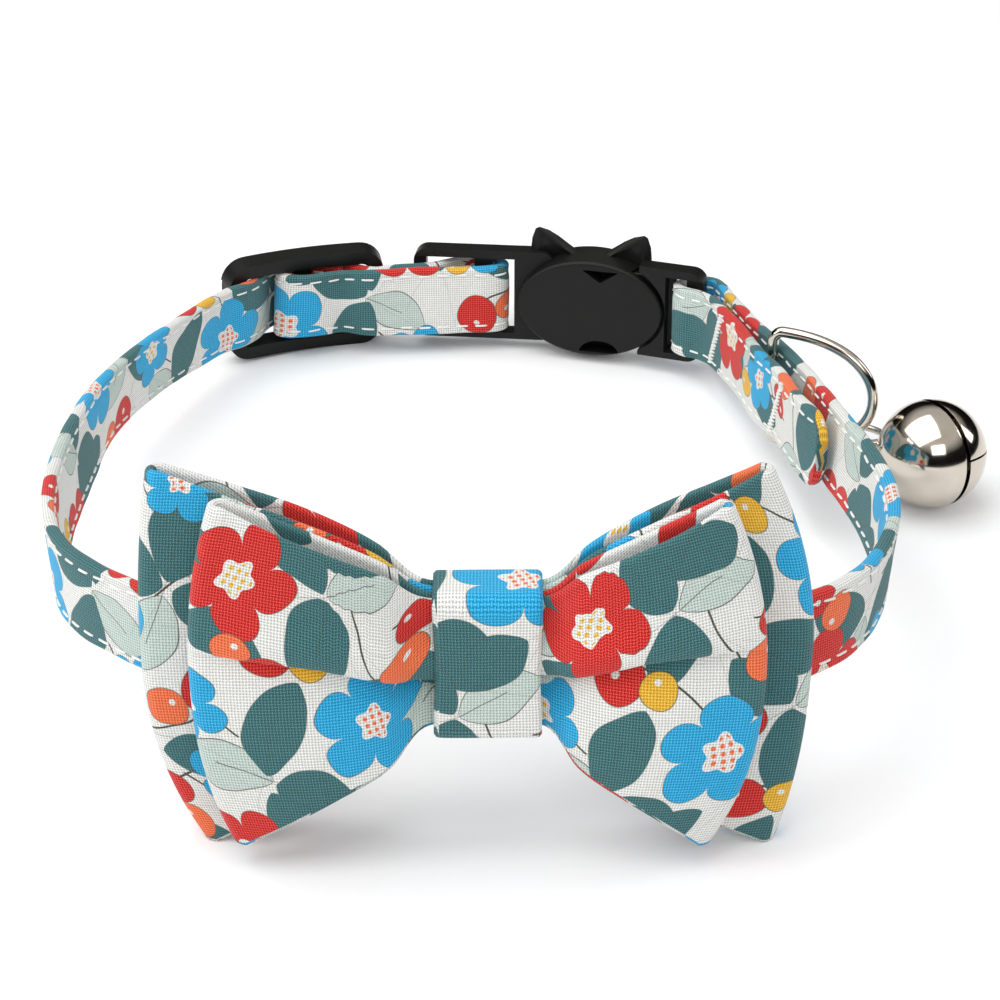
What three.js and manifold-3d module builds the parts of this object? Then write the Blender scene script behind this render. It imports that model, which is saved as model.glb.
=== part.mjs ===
// Pet collar with a double bow tie, a breakaway buckle, a slider and a bell on a D-ring.
//
// Everything is modelled in the frame of the neck loop, in millimetres: x to the wearer's left, y to the
// back of the neck where the buckle is, z along the width of the strap, whose lower edge is at z = 0.
// The whole collar then leans back a little, because it rests on the lower corners of the bow in front
// and on the slider and buckle behind, and the origin moves to the middle of the footprint.

import * as THREE from 'three';
import { mergeVertices } from 'three/addons/utils/BufferGeometryUtils.js';
import Module from 'manifold-3d';

const wasm = await Module();
wasm.setup();

// ---------------------------------------------------------------- driving dimensions

const STRAP_WIDTH = 10;
const STRAP_THICKNESS = 1.5;
const STRAP_MIDDLE = STRAP_WIDTH / 2;
const FLAP_END_RADIUS = 3.2;

const SLIDER = {
  x: -24.0, y: 46.3, turn: 21, lean: 9.2,        // place in plan, and its top leaning in towards the neck
  halfLength: 10.6, halfHeight: 6.5, corner: 2.6, // centre line of the frame
  railWidth: 1.9, railDepth: 3.0, endDepth: 2.4,
  bend: 62,                                       // radius that follows the neck
  barWidth: 2.4, barDepth: 1.6,
};

const HEAD = {
  x: 17.0, y: 44.3, turn: -15, middle: 5.3,      // the buckle's oval head
  halfWidth: 10.6, halfHeight: 7.4, inner: -2.0, outer: 3.0,
  bevel: 0.5, earsMiddle: -0.9,
};
const SOCKET_PLATE = { x: 0, y: 48.45, turn: -6.3 };
const PLUG_PLATE = { x: 30.5, y: 39.2, turn: -22 };
const PLATE = { halfDepth: 1.4, low: -1.15, high: 12.0, corner: 2.0, slotLow: -0.25, slotHigh: 10.85, barHalfDepth: 0.8 };
const TONGUE = { from: 2.5, to: 10.0, halfDepth: 0.8, halfHeight: 5.2 };
const CLEARANCE = 0.3;

const RING = { x: 39.2, y: 15.5, turn: -25, halfHeight: 7.5, depth: 13.6, wire: 1.4, fullness: 2.4, corner: 1.3 };

const BELL = {
  diameter: 13.8, wall: 0.6, slit: 0.8, crossSlit: 0.4, slitTurn: -23, slitLift: 12,
  axisTurn: -35, eyelet: 2.4, eyeletStretch: 1.38, eyeletWire: 0.9,
};

const BOW = { x: 2.8, back: -56.15, middle: 8.8, cloth: 1.0 };
const KNOT = { width: 10.6, halfHeight: 8.15, from: 1.4, to: 8.8, cloth: 1.05 };
const ELASTIC = { width: 7, wall: 0.8 };

// ---------------------------------------------------------------- shared geometry helpers

const radians = THREE.MathUtils.degToRad;

/** Volume enclosed by a closed triangle mesh; negative when its faces point in. */
function signedVolume(geometry) {
  const position = geometry.getAttribute('position');
  const index = geometry.getIndex();
  const [a, b, c] = [new THREE.Vector3(), new THREE.Vector3(), new THREE.Vector3()];
  let volume = 0;
  for (let i = 0; i < index.count; i += 3) {
    a.fromBufferAttribute(position, index.getX(i));
    b.fromBufferAttribute(position, index.getX(i + 1));
    c.fromBufferAttribute(position, index.getX(i + 2));
    volume += a.dot(b.cross(c)) / 6;
  }
  return volume;
}

/** Closed body through rings of points: a closed band of rings, or an open row of rings with end caps. */
function loft(rings, closed) {
  const count = rings[0].length;
  const points = rings.flat();
  const faces = [];
  const last = closed ? rings.length : rings.length - 1;
  for (let i = 0; i < last; i += 1) {
    const here = i * count;
    const next = ((i + 1) % rings.length) * count;
    for (let j = 0; j < count; j += 1) {
      const k = (j + 1) % count;
      faces.push(here + j, next + j, next + k, here + j, next + k, here + k);
    }
  }
  if (!closed) {
    const end = (rings.length - 1) * count;
    for (let j = 1; j < count - 1; j += 1) {
      faces.push(0, j, j + 1, end, end + j + 1, end + j);
    }
  }
  const geometry = new THREE.BufferGeometry().setFromPoints(points);
  geometry.setIndex(faces);
  if (signedVolume(geometry) < 0) {
    geometry.setIndex(faces.reverse());
  }
  return geometry;
}

/** The same body with shared vertices, as manifold-3d takes it. */
function solidOf(geometry) {
  const bare = geometry.clone();
  bare.deleteAttribute('normal');
  bare.deleteAttribute('uv');
  const merged = mergeVertices(bare, 1e-4);
  return new wasm.Manifold(new wasm.Mesh({
    numProp: 3,
    vertProperties: new Float32Array(merged.getAttribute('position').array),
    triVerts: new Uint32Array(merged.getIndex().array),
  }));
}

function geometryOf(solid) {
  const mesh = solid.getMesh();
  const geometry = new THREE.BufferGeometry();
  geometry.setAttribute('position', new THREE.BufferAttribute(mesh.vertProperties, 3));
  geometry.setIndex(new THREE.BufferAttribute(mesh.triVerts, 1));
  return geometry;
}

/** Box given by its low and high corners. */
function block(low, high) {
  const size = high.map((value, i) => value - low[i]);
  const middle = high.map((value, i) => (value + low[i]) / 2);
  return new THREE.BoxGeometry(...size).translate(...middle);
}

/** Shape drawn in the u-z plane and given thickness along d, from d = low to d = high. */
function plate(shape, low, high, bevel, curveSegments = 6) {
  const geometry = new THREE.ExtrudeGeometry(shape, {
    depth: high - low - 2 * bevel,
    bevelEnabled: bevel > 0,
    bevelThickness: bevel,
    bevelSize: bevel,
    bevelOffset: -bevel,
    bevelSegments: 2,
    curveSegments,
  });
  return geometry.rotateX(Math.PI / 2).translate(0, high - bevel, 0);
}

/** Points given along and across a piece that is turned in plan, as rows of the strap's course. */
function turned(frame, lean, pairs) {
  const angle = radians(frame.turn);
  return pairs.map(([along, out]) => ({
    x: frame.x + along * Math.cos(angle) - out * Math.sin(angle),
    y: frame.y + along * Math.sin(angle) + out * Math.cos(angle),
    lean,
  }));
}

function material(color, roughness, metalness) {
  return new THREE.MeshStandardMaterial({ color, roughness, metalness });
}

const COTTON = material(0xf0efeb, 0.9, 0);
const ELASTIC_WEBBING = material(0x2b2b2b, 0.9, 0);
const PLASTIC = material(0x2a2a29, 0.45, 0);
const NICKEL = material(0xc9c5bd, 0.2, 1);

// ---------------------------------------------------------------- strap

// Course of the strap in plan, from the free end of the flap to the end sewn round the slider's bar.
// lean is how much further from the neck's centre the upper edge lies than the lower one.
const FLAP = [
  { x: 42.9, y: -6.8, lean: 0.3 },
  { x: 41.7, y: -2.5, lean: 0.0 },
  { x: 40.5, y: 2.5, lean: -0.2 },
  { x: 39.6, y: 8.5, lean: -0.3 },
  { x: 37.35, y: 15.8, lean: -0.1 },
  { x: 36.1, y: 23.0, lean: -0.4 },
  { x: 34.4, y: 29.5, lean: -0.4 },
  { x: 32.9, y: 34.2, lean: -0.3 },
];
const ROUND_THE_PLUG = turned(PLUG_PLATE, 0, [
  [1.6, -2.3], [0.1, -2.1], [-1.35, -1.3], [-1.95, 0.3], [-1.35, 1.9], [0.4, 3.0], [2.2, 3.2], [3.9, 1.6],
]);
const RIGHT_SIDE = [
  { x: 35.3, y: 36.2, lean: 0.0 },
  { x: 36.8, y: 29.5, lean: 0.2 },
  { x: 38.7, y: 22.5, lean: 0.3 },
  { x: 41.1, y: 15.0, lean: 0.3 },
  { x: 42.6, y: 8.5, lean: 0.6 },
  { x: 43.9, y: 2.0, lean: 0.8 },
  { x: 45.1, y: -5.0, lean: 1.1 },
  { x: 46.5, y: -12.0, lean: 1.4 },
  { x: 47.4, y: -19.0, lean: 1.6 },
  { x: 47.6, y: -26.0, lean: 1.4 },
];
const FRONT = [
  { x: 47.0, y: -32.3, lean: 1.0 },
  { x: 45.5, y: -37.6, lean: 0.6 },
  { x: 43.2, y: -42.8, lean: 0.4 },
  { x: 39.9, y: -47.4, lean: 0.2 },
  { x: 35.2, y: -51.1, lean: 0.0 },
  { x: 28.0, y: -54.0, lean: 0.0 },
  { x: 18.0, y: -55.3, lean: 0.0 },
  { x: 3.0, y: -55.4, lean: 0.0 },
  { x: -13.0, y: -55.2, lean: 0.0 },
  { x: -24.0, y: -53.5, lean: 0.0 },
  { x: -31.0, y: -50.4, lean: 0.0 },
  { x: -36.5, y: -46.2, lean: 0.0 },
  { x: -41.1, y: -41.6, lean: 0.1 },
  { x: -44.2, y: -36.3, lean: 0.4 },
];
const LEFT_SIDE = [
  { x: -46.0, y: -29.5, lean: 0.8 },
  { x: -47.0, y: -21.0, lean: 1.0 },
  { x: -47.2, y: -12.0, lean: 1.0 },
  { x: -46.9, y: -3.0, lean: 0.6 },
  { x: -46.3, y: 5.0, lean: -0.4 },
  { x: -45.0, y: 12.0, lean: -1.3 },
  { x: -42.9, y: 19.0, lean: -1.8 },
  { x: -40.3, y: 25.5, lean: -2.0 },
  { x: -37.5, y: 31.5, lean: -1.9 },
];
const SLIDER_LEAN = -1.6;
const OVER_THE_SLIDER = turned(SLIDER, SLIDER_LEAN, [
  [-12.2, -4.2], [-9.6, -3.1], [-7.2, -1.2], [-4.8, 1.9], [-2.2, 3.75], [0, 4.1], [2.2, 3.75], [4.8, 1.9],
  [7.2, -1.2], [9.6, -3.1], [11.6, -3.3],
]);
const ROUND_THE_SOCKET = turned(SOCKET_PLATE, 0, [
  [-7.2, -1.95], [-4.8, -1.2], [-2.2, 1.1], [0.4, 1.95], [2.3, 1.95], [4.0, 1.2], [4.6, 0], [4.0, -1.2],
  [2.2, -2.0], [-0.8, -2.6], [-4.0, -3.3], [-7.4, -3.85],
]);
const RETURN_RUN = [
  { x: -14.5, y: 44.7, lean: -0.6 },
];
const SEWN_END = turned(SLIDER, SLIDER_LEAN, [
  [5.0, -3.0], [2.0, -3.0], [-0.6, -2.9], [-2.6, -2.1], [-3.5, -0.6], [-2.9, 1.0], [-1.3, 1.85], [0.6, 1.85],
  [2.2, 1.2], [3.6, 0.2], [5.4, -1.0],
]);
const COURSE = [
  ...FLAP, ...ROUND_THE_PLUG, ...RIGHT_SIDE, ...FRONT, ...LEFT_SIDE, ...OVER_THE_SLIDER, ...ROUND_THE_SOCKET,
  ...RETURN_RUN, ...SEWN_END,
];

/** Stations along the course: close together where it turns, far apart where it runs straight. */
function stationsAlong(course, longestStep, mostTurn) {
  const curve = new THREE.CatmullRomCurve3(
    course.map(({ x, y, lean }) => new THREE.Vector3(x, y, lean)), false, 'centripetal');
  const samples = 3000;
  const stations = [];
  let travelled = 0;
  let kept = null;
  let previous = null;
  for (let i = 0; i <= samples; i += 1) {
    const point = curve.getPoint(i / samples);
    const tangent = curve.getTangent(i / samples);
    const heading = Math.atan2(tangent.y, tangent.x);
    if (previous) {
      travelled += Math.hypot(point.x - previous.x, point.y - previous.y);
    }
    const turn = kept ? Math.abs(Math.atan2(Math.sin(heading - kept.heading), Math.cos(heading - kept.heading))) : 0;
    if (!kept || travelled - kept.at > longestStep || turn > radians(mostTurn) || i === samples) {
      kept = { x: point.x, y: point.y, lean: point.z, heading, at: travelled };
      stations.push(kept);
    }
    previous = point;
  }
  return stations;
}

/** Half of the strap's width at a distance from the flap's rounded end. */
function halfWidthAt(distance) {
  const short = Math.max(FLAP_END_RADIUS - distance, 0);
  return STRAP_MIDDLE - FLAP_END_RADIUS + Math.sqrt(FLAP_END_RADIUS ** 2 - short ** 2);
}

/** Cross-section of the strap: a thin strip with its long edges rounded over. */
function strapSection(station) {
  const away = new THREE.Vector3(station.x, station.y, 0).normalize();
  const up = away.multiplyScalar(station.lean).setZ(STRAP_WIDTH).normalize();
  const across = new THREE.Vector3(Math.sin(station.heading), -Math.cos(station.heading), 0);
  const half = Math.max(halfWidthAt(station.at), 2.0);
  const thick = STRAP_THICKNESS / 2;
  const outline = [
    [-thick, -half + 0.6], [-thick / 2, -half], [thick / 2, -half], [thick, -half + 0.6],
    [thick, half - 0.6], [thick / 2, half], [-thick / 2, half], [-thick, half - 0.6],
  ];
  return outline.map(([out, along]) => new THREE.Vector3(station.x, station.y, STRAP_MIDDLE)
    .addScaledVector(across, out)
    .addScaledVector(up, along));
}

function strap() {
  const stations = stationsAlong(COURSE, 6.5, 13);
  const flapEnd = stationsAlong(COURSE, 0.8, 13).filter(({ at }) => at < FLAP_END_RADIUS);
  const rest = stations.filter(({ at }) => at > FLAP_END_RADIUS + 0.5);
  return loft([...flapEnd, ...rest].map(strapSection), false);
}

// ---------------------------------------------------------------- slider

/** Outline of a rounded rectangle as points in the u-z plane, corner by corner. */
function roundedOutline(halfLength, halfHeight, radius, perCorner, perSide) {
  const points = [];
  const corners = [[1, -1, -90], [1, 1, 0], [-1, 1, 90], [-1, -1, 180]];
  corners.forEach(([sideU, sideZ, start], i) => {
    for (let k = 0; k <= perCorner; k += 1) {
      const angle = radians(start + (90 * k) / perCorner);
      points.push(new THREE.Vector2(
        sideU * (halfLength - radius) + radius * Math.cos(angle),
        sideZ * (halfHeight - radius) + radius * Math.sin(angle)));
    }
    const [nextU, nextZ, nextStart] = corners[(i + 1) % corners.length];
    const target = new THREE.Vector2(
      nextU * (halfLength - radius) + radius * Math.cos(radians(nextStart)),
      nextZ * (halfHeight - radius) + radius * Math.sin(radians(nextStart)));
    const from = points[points.length - 1];
    for (let k = 1; k < perSide; k += 1) {
      points.push(from.clone().lerp(target, k / perSide));
    }
  });
  return points;
}

/** The slider's frame follows the neck; its rails are deeper than its end bars, and a bar crosses it. */
function slider() {
  const outline = roundedOutline(SLIDER.halfLength, SLIDER.halfHeight, SLIDER.corner, 3, 5);
  const rings = outline.map((point, i) => {
    const before = outline[(i + outline.length - 1) % outline.length];
    const after = outline[(i + 1) % outline.length];
    const outward = new THREE.Vector2(after.y - before.y, before.x - after.x).normalize();
    const endShare = THREE.MathUtils.smoothstep(Math.abs(outward.x), 0.2, 0.9);
    const half = THREE.MathUtils.lerp(SLIDER.railDepth, SLIDER.endDepth, endShare) / 2;
    const wide = SLIDER.railWidth / 2;
    const drop = -(point.x ** 2) / (2 * SLIDER.bend);
    const section = [
      [-wide, -half + 0.5], [-wide + 0.5, -half], [wide - 0.5, -half], [wide, -half + 0.5],
      [wide, half - 0.5], [wide - 0.5, half], [-wide + 0.5, half], [-wide, half - 0.5],
    ];
    return section.map(([out, deep]) => new THREE.Vector3(
      point.x + outward.x * out, drop + deep, point.y + outward.y * out));
  });
  const frame = solidOf(loft(rings, true));
  const bar = solidOf(block(
    [-SLIDER.barWidth / 2, -SLIDER.barDepth / 2, -SLIDER.halfHeight],
    [SLIDER.barWidth / 2, SLIDER.barDepth / 2, SLIDER.halfHeight]));
  return geometryOf(frame.add(bar));
}

// ---------------------------------------------------------------- buckle

/** Rounded rectangle in the u-z plane, as tall as the plates are. */
function plateShape(from, to) {
  const shape = new THREE.Shape();
  const radius = PLATE.corner;
  shape.moveTo(from + radius, PLATE.low);
  shape.lineTo(to - radius, PLATE.low);
  shape.absarc(to - radius, PLATE.low + radius, radius, -Math.PI / 2, 0);
  shape.absarc(to - radius, PLATE.high - radius, radius, 0, Math.PI / 2);
  shape.lineTo(from + radius, PLATE.high);
  shape.absarc(from + radius, PLATE.high - radius, radius, Math.PI / 2, Math.PI);
  shape.absarc(from + radius, PLATE.low + radius, radius, Math.PI, 1.5 * Math.PI);
  return shape;
}

/** Strap plate with slots; its bars are thinner than its rails, so that the strap lies between the rails. */
function strapPlate(from, to, slots, recessFrom, recessTo) {
  const body = solidOf(plate(plateShape(from, to), -PLATE.halfDepth, PLATE.halfDepth, 0.4));
  const cuts = slots.map(([start, end]) => block([start, -5, PLATE.slotLow], [end, 5, PLATE.slotHigh]));
  cuts.push(block([recessFrom, -5, PLATE.slotLow], [recessTo, -PLATE.barHalfDepth, PLATE.slotHigh]));
  cuts.push(block([recessFrom, PLATE.barHalfDepth, PLATE.slotLow], [recessTo, 5, PLATE.slotHigh]));
  return cuts.reduce((solid, cut) => solid.subtract(solidOf(cut)), body);
}

/** Moves a solid from its own turned frame in plan into the frame of the buckle's head. */
function intoHead(solid, frame) {
  const own = new THREE.Matrix4().makeRotationZ(radians(frame.turn)).setPosition(frame.x, frame.y, 0);
  const head = new THREE.Matrix4().makeRotationZ(radians(HEAD.turn)).setPosition(HEAD.x, HEAD.y, 0);
  return solidOf(geometryOf(solid).applyMatrix4(head.invert().multiply(own)));
}

function ovalHead(extra, low, high, bevel) {
  const shape = new THREE.Shape();
  shape.absellipse(0, HEAD.middle, HEAD.halfWidth + extra, HEAD.halfHeight + extra, 0, 2 * Math.PI);
  return solidOf(plate(shape, low, high, bevel, 16));
}

/** Cat ear, side = 1 or -1: a leaning triangle with bowed sides, its root inside the head. */
function ear(side) {
  const along = (reach) => HEAD.earsMiddle + side * reach;
  const shape = new THREE.Shape();
  shape.moveTo(along(1.2), 11.2);
  shape.quadraticCurveTo(along(4.6), 13.9, along(7.2), 14.65);
  shape.quadraticCurveTo(along(7.75), 14.8, along(8.05), 14.3);
  shape.quadraticCurveTo(along(8.95), 12.6, along(8.7), 9.6);
  shape.closePath();
  return solidOf(plate(shape, 1.4, 3.0, 0));
}

/** Triangular mark sunk into the inner face of the head. */
function faceMark(base, tip) {
  const shape = new THREE.Shape();
  shape.moveTo(-1.0, base);
  shape.lineTo(4.0, base);
  shape.lineTo(1.5, tip);
  shape.closePath();
  return solidOf(plate(shape, HEAD.inner - 1, HEAD.inner + 0.6, 0));
}

function buckleSocket() {
  const plateWithBars = strapPlate(-8.2, 12, [[-6.4, 0.5], [2.9, 6.2]], -9, 6.2);
  const cavity = solidOf(block(
    [TONGUE.from - CLEARANCE, -TONGUE.halfDepth - CLEARANCE, HEAD.middle - TONGUE.halfHeight - CLEARANCE],
    [HEAD.halfWidth + 5, TONGUE.halfDepth + CLEARANCE, HEAD.middle + TONGUE.halfHeight + CLEARANCE]));
  const body = ovalHead(0, HEAD.inner, HEAD.outer, HEAD.bevel)
    .add(ear(1))
    .add(ear(-1))
    .add(intoHead(plateWithBars, SOCKET_PLATE));
  return geometryOf(body
    .subtract(cavity)
    .subtract(faceMark(10.8, 9.2))
    .subtract(faceMark(-1.5, 0.3)));
}

function bucklePlug() {
  const whole = intoHead(strapPlate(-12, 1.9, [[-3.4, -0.5]], -0.5, 4), PLUG_PLATE);
  const tongue = solidOf(block(
    [TONGUE.from, -TONGUE.halfDepth, HEAD.middle - TONGUE.halfHeight],
    [TONGUE.to, TONGUE.halfDepth, HEAD.middle + TONGUE.halfHeight]));
  const past = solidOf(block([-20, -20, -20], [0, 20, 40]));
  return geometryOf(whole
    .subtract(ovalHead(CLEARANCE, -8, 8, 0))
    .subtract(past)
    .add(tongue));
}

// ---------------------------------------------------------------- D-ring and bell

/** Point on the D at an angle from its far side, in the ring's own plane: reach out, height up. */
function ringPoint(angle) {
  const power = 2 / RING.fullness;
  return {
    reach: RING.depth * Math.abs(Math.cos(angle)) ** power,
    height: RING.halfHeight * Math.sign(Math.sin(angle)) * Math.abs(Math.sin(angle)) ** power,
  };
}

/** Centre line of the wire: the bow of the D, a rounded corner, its straight side and the other corner. */
function ringCentreLine() {
  const bowSteps = 24;
  const reachOfBend = RING.corner;
  const last = Math.acos((reachOfBend / RING.depth) ** (RING.fullness / 2));
  const line = [];
  for (let i = 0; i <= bowSteps; i += 1) {
    line.push(ringPoint(last * ((2 * i) / bowSteps - 1)));
  }
  const top = RING.halfHeight - reachOfBend;
  const bend = [30, 60, 90].map(radians).map((angle) => (
    { reach: reachOfBend * (1 - Math.sin(angle)), height: top + reachOfBend * Math.cos(angle) }));
  const straight = [0.5, 0, -0.5].map((share) => ({ reach: 0, height: top * share }));
  const lower = bend.map(({ reach, height }) => ({ reach, height: -height })).reverse();
  return [...line, ...bend, ...straight, ...lower];
}

function dRing() {
  const line = ringCentreLine();
  const sides = 8;
  const rings = line.map((point, i) => {
    const before = line[(i + line.length - 1) % line.length];
    const after = line[(i + 1) % line.length];
    const outward = new THREE.Vector2(after.height - before.height, before.reach - after.reach).normalize();
    return Array.from({ length: sides }, (_, k) => {
      const angle = (2 * Math.PI * k) / sides;
      const out = (RING.wire / 2) * Math.cos(angle);
      return new THREE.Vector3(
        point.reach + outward.x * out, (RING.wire / 2) * Math.sin(angle), point.height + outward.y * out);
    });
  });
  return loft(rings, true);
}

/** Hollow ball with crossed slits near one pole (+x) and a wire eyelet at the other. */
function bell() {
  const radius = BELL.diameter / 2;
  const ball = (size) => solidOf(new THREE.SphereGeometry(size, 26, 16).rotateZ(Math.PI / 2));
  const slits = [
    block([-0.12 * radius, -BELL.slit / 2, -radius - 1], [radius + 1, BELL.slit / 2, radius + 1]),
    block([0.3 * radius, 0, -BELL.crossSlit / 2], [radius + 1, radius + 1, BELL.crossSlit / 2]),
  ].map((slit) => slit.rotateY(-radians(BELL.slitLift)).rotateZ(radians(BELL.slitTurn)));
  const eyelet = solidOf(new THREE.TorusGeometry(BELL.eyelet, BELL.eyeletWire / 2, 6, 18)
    .scale(BELL.eyeletStretch, 1, 1)
    .translate(-radius - BELL.eyelet * BELL.eyeletStretch + 0.25, 0, 0));
  const shell = ball(radius).add(eyelet).subtract(ball(radius - BELL.wall));
  return geometryOf(slits.reduce((body, slit) => body.subtract(solidOf(slit)), shell));
}

// ---------------------------------------------------------------- bows

// One row for each place along a lobe, from the middle of the bow to its outer fold. reach is the distance
// from the middle, top and bottom are heights from the bow's middle, and front and rear are how far the two
// layers of the loop stand in front of the strap. pleat is how deep the front layer folds in along its middle.
const BACK_LOBE = [
  { reach: 0.0, top: 6.8, bottom: -6.8, front: 4.45, rear: 3.2, pleat: 0.0 },
  { reach: 6.2, top: 6.9, bottom: -6.9, front: 4.45, rear: 3.2, pleat: 0.0 },
  { reach: 11.0, top: 10.6, bottom: -11.0, front: 5.0, rear: 2.5, pleat: 0.4 },
  { reach: 18.0, top: 14.2, bottom: -15.5, front: 5.4, rear: 2.1, pleat: 0.4 },
  { reach: 25.5, top: 17.0, bottom: -19.3, front: 5.3, rear: 2.3, pleat: 0.2 },
  { reach: 32.0, top: 19.4, bottom: -21.9, front: 4.9, rear: 3.0, pleat: 0.0 },
];
const FRONT_LOBE = [
  { reach: 0.0, top: 6.8, bottom: -6.8, front: 6.95, rear: 5.7, pleat: 0.0 },
  { reach: 6.2, top: 6.9, bottom: -6.9, front: 6.95, rear: 5.7, pleat: 0.0 },
  { reach: 10.0, top: 10.2, bottom: -10.6, front: 8.9, rear: 6.4, pleat: 1.5 },
  { reach: 15.5, top: 12.9, bottom: -13.6, front: 9.9, rear: 6.7, pleat: 1.6 },
  { reach: 21.5, top: 15.4, bottom: -16.6, front: 10.0, rear: 6.9, pleat: 1.0 },
  { reach: 27.0, top: 17.8, bottom: -19.2, front: 9.5, rear: 7.6, pleat: 0.3 },
];
// Each side's length as a share of the table's, and how much its fold draws in at the top and the bottom.
const BACK_BOW = {
  lobe: BACK_LOBE, barrel: 0.8,
  left: { share: 1.01, top: 0.9, bottom: 4.3 }, right: { share: 0.942, top: 3.9, bottom: 1.9 },
};
const FRONT_BOW = {
  lobe: FRONT_LOBE, barrel: 0.8,
  left: { share: 1.0, top: 1.9, bottom: 2.6 }, right: { share: 0.928, top: 3.0, bottom: 3.8 },
};

/** Reads a lobe's table at a distance from the middle. */
function lobeAt(lobe, reach) {
  const next = Math.max(1, lobe.findIndex((row) => row.reach >= reach - 1e-9));
  const [low, high] = [lobe[next - 1], lobe[next]];
  const share = (reach - low.reach) / (high.reach - low.reach);
  const mix = (key) => THREE.MathUtils.lerp(low[key], high[key], share);
  return { top: mix('top'), bottom: mix('bottom'), front: mix('front'), rear: mix('rear'), pleat: mix('pleat') };
}

/** One bow: a flat loop of cloth that runs along the front, folds at each end and returns behind. */
function bow(bowSize) {
  const { lobe, barrel, left, right } = bowSize;
  const end = lobe[lobe.length - 1].reach;
  const reaches = [0, 6.1 / end, 0.34, 0.48, 0.62, 0.76, 0.9, 1].map((share) => share * end);
  const foldSteps = 4;
  const heights = [-1, -0.55, -0.25, 0, 0.25, 0.55, 1];

  // Middle line of the cloth, all round the loop, with the direction that faces out of the loop.
  const line = [];
  [1, -1].forEach((side) => {
    const half = reaches.map((reach) => ({ side, reach, turn: 0 }));
    for (let k = 1; k < foldSteps; k += 1) {
      half.push({ side, reach: end, turn: (Math.PI * k) / foldSteps });
    }
    [...reaches].reverse().forEach((reach) => half.push({ side, reach, turn: Math.PI }));
    if (side === 1) {
      line.push(...half);
    } else {
      line.push(...half.reverse().slice(1, -1));
    }
  });

  const rings = line.map(({ side, reach, turn }) => {
    const row = lobeAt(lobe, reach);
    const middle = (row.front + row.rear) / 2;
    const gap = (row.front - row.rear) / 2;
    const fold = side === 1 ? right : left;
    const outX = Math.sin(turn);
    const outY = Math.cos(turn);
    const share = reach / end;
    const cloth = BOW.cloth / 2;
    const face = (height, outwards) => {
      const drawnIn = fold.top * Math.max(height, 0) ** 2 + fold.bottom * Math.max(-height, 0) ** 2.5;
      const bulge = (barrel * (1 - height ** 2) - drawnIn) * share ** 3;
      const pleat = outY > 0.5 ? row.pleat * Math.exp(-((height / 0.28) ** 2)) : 0;
      const curl = gap + outwards * cloth;
      const x = side * (reach * fold.share + bulge + outX * curl);
      const depth = middle + outY * curl - pleat;
      const z = height >= 0 ? row.top * height : -row.bottom * height;
      return new THREE.Vector3(x, -depth, z);
    };
    return [
      ...heights.map((height) => face(height, 1)),
      ...[...heights].reverse().map((height) => face(height, -1)),
    ];
  });
  return loft(rings, true);
}

/** Flat band bent into a closed rounded rectangle in the y-z plane, width along x. */
function wrap({ width, wall, near, far, low, high, radius }) {
  const halfDeep = (far - near) / 2;
  const halfTall = (high - low) / 2;
  const outline = roundedOutline(halfDeep, halfTall, radius, 3, 2);
  const middle = new THREE.Vector2((far + near) / 2, (high + low) / 2);
  const rings = outline.map((point, i) => {
    const before = outline[(i + outline.length - 1) % outline.length];
    const after = outline[(i + 1) % outline.length];
    const outward = new THREE.Vector2(after.y - before.y, before.x - after.x).normalize();
    const at = (x, out) => new THREE.Vector3(
      x, -(middle.x + point.x + outward.x * out), middle.y + point.y + outward.y * out);
    return [at(-width / 2, -wall / 2), at(width / 2, -wall / 2), at(width / 2, wall / 2), at(-width / 2, wall / 2)];
  });
  return loft(rings, true);
}

function knot() {
  const { width, cloth, from, to, halfHeight } = KNOT;
  return wrap({
    width, wall: cloth, near: from + cloth / 2, far: to - cloth / 2,
    low: -halfHeight + cloth / 2, high: halfHeight - cloth / 2, radius: 1.2,
  });
}

/** Elastic loop: in front of the strap it lies behind the knot, and behind the strap it closes the loop. */
function elasticLoop() {
  const { width, wall } = ELASTIC;
  const reach = CLEARANCE + wall / 2;
  return wrap({
    width, wall, near: -STRAP_THICKNESS - reach, far: reach,
    low: -BOW.middle - reach, high: STRAP_WIDTH - BOW.middle + reach, radius: 0.9,
  });
}

// ---------------------------------------------------------------- assembly

function piece(name, geometry, look) {
  const mesh = new THREE.Mesh(geometry, look);
  mesh.name = name;
  return mesh;
}

const neckLoop = new THREE.Group();
neckLoop.add(piece('collar_strap', strap(), COTTON));

const sliderPiece = piece('strap_slider', slider(), PLASTIC);
sliderPiece.position.set(SLIDER.x, SLIDER.y, STRAP_MIDDLE);
sliderPiece.rotation.order = 'ZXY';
sliderPiece.rotation.z = radians(SLIDER.turn);
sliderPiece.rotation.x = radians(SLIDER.lean);
neckLoop.add(sliderPiece);

const buckle = new THREE.Group();
buckle.position.set(HEAD.x, HEAD.y, 0);
buckle.rotation.z = radians(HEAD.turn);
buckle.add(piece('buckle_socket', buckleSocket(), PLASTIC));
buckle.add(piece('buckle_plug', bucklePlug(), PLASTIC));
neckLoop.add(buckle);

const ring = new THREE.Group();
ring.position.set(RING.x, RING.y, STRAP_MIDDLE);
ring.rotation.z = radians(RING.turn);
ring.add(piece('d_ring', dRing(), NICKEL));
neckLoop.add(ring);

const bowTie = new THREE.Group();
bowTie.position.set(BOW.x, BOW.back, BOW.middle);
bowTie.add(piece('bow_back', bow(BACK_BOW), COTTON));
bowTie.add(piece('bow_front', bow(FRONT_BOW), COTTON));
bowTie.add(piece('bow_knot', knot(), COTTON));
bowTie.add(piece('bow_loop', elasticLoop(), ELASTIC_WEBBING));
neckLoop.add(bowTie);

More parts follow.
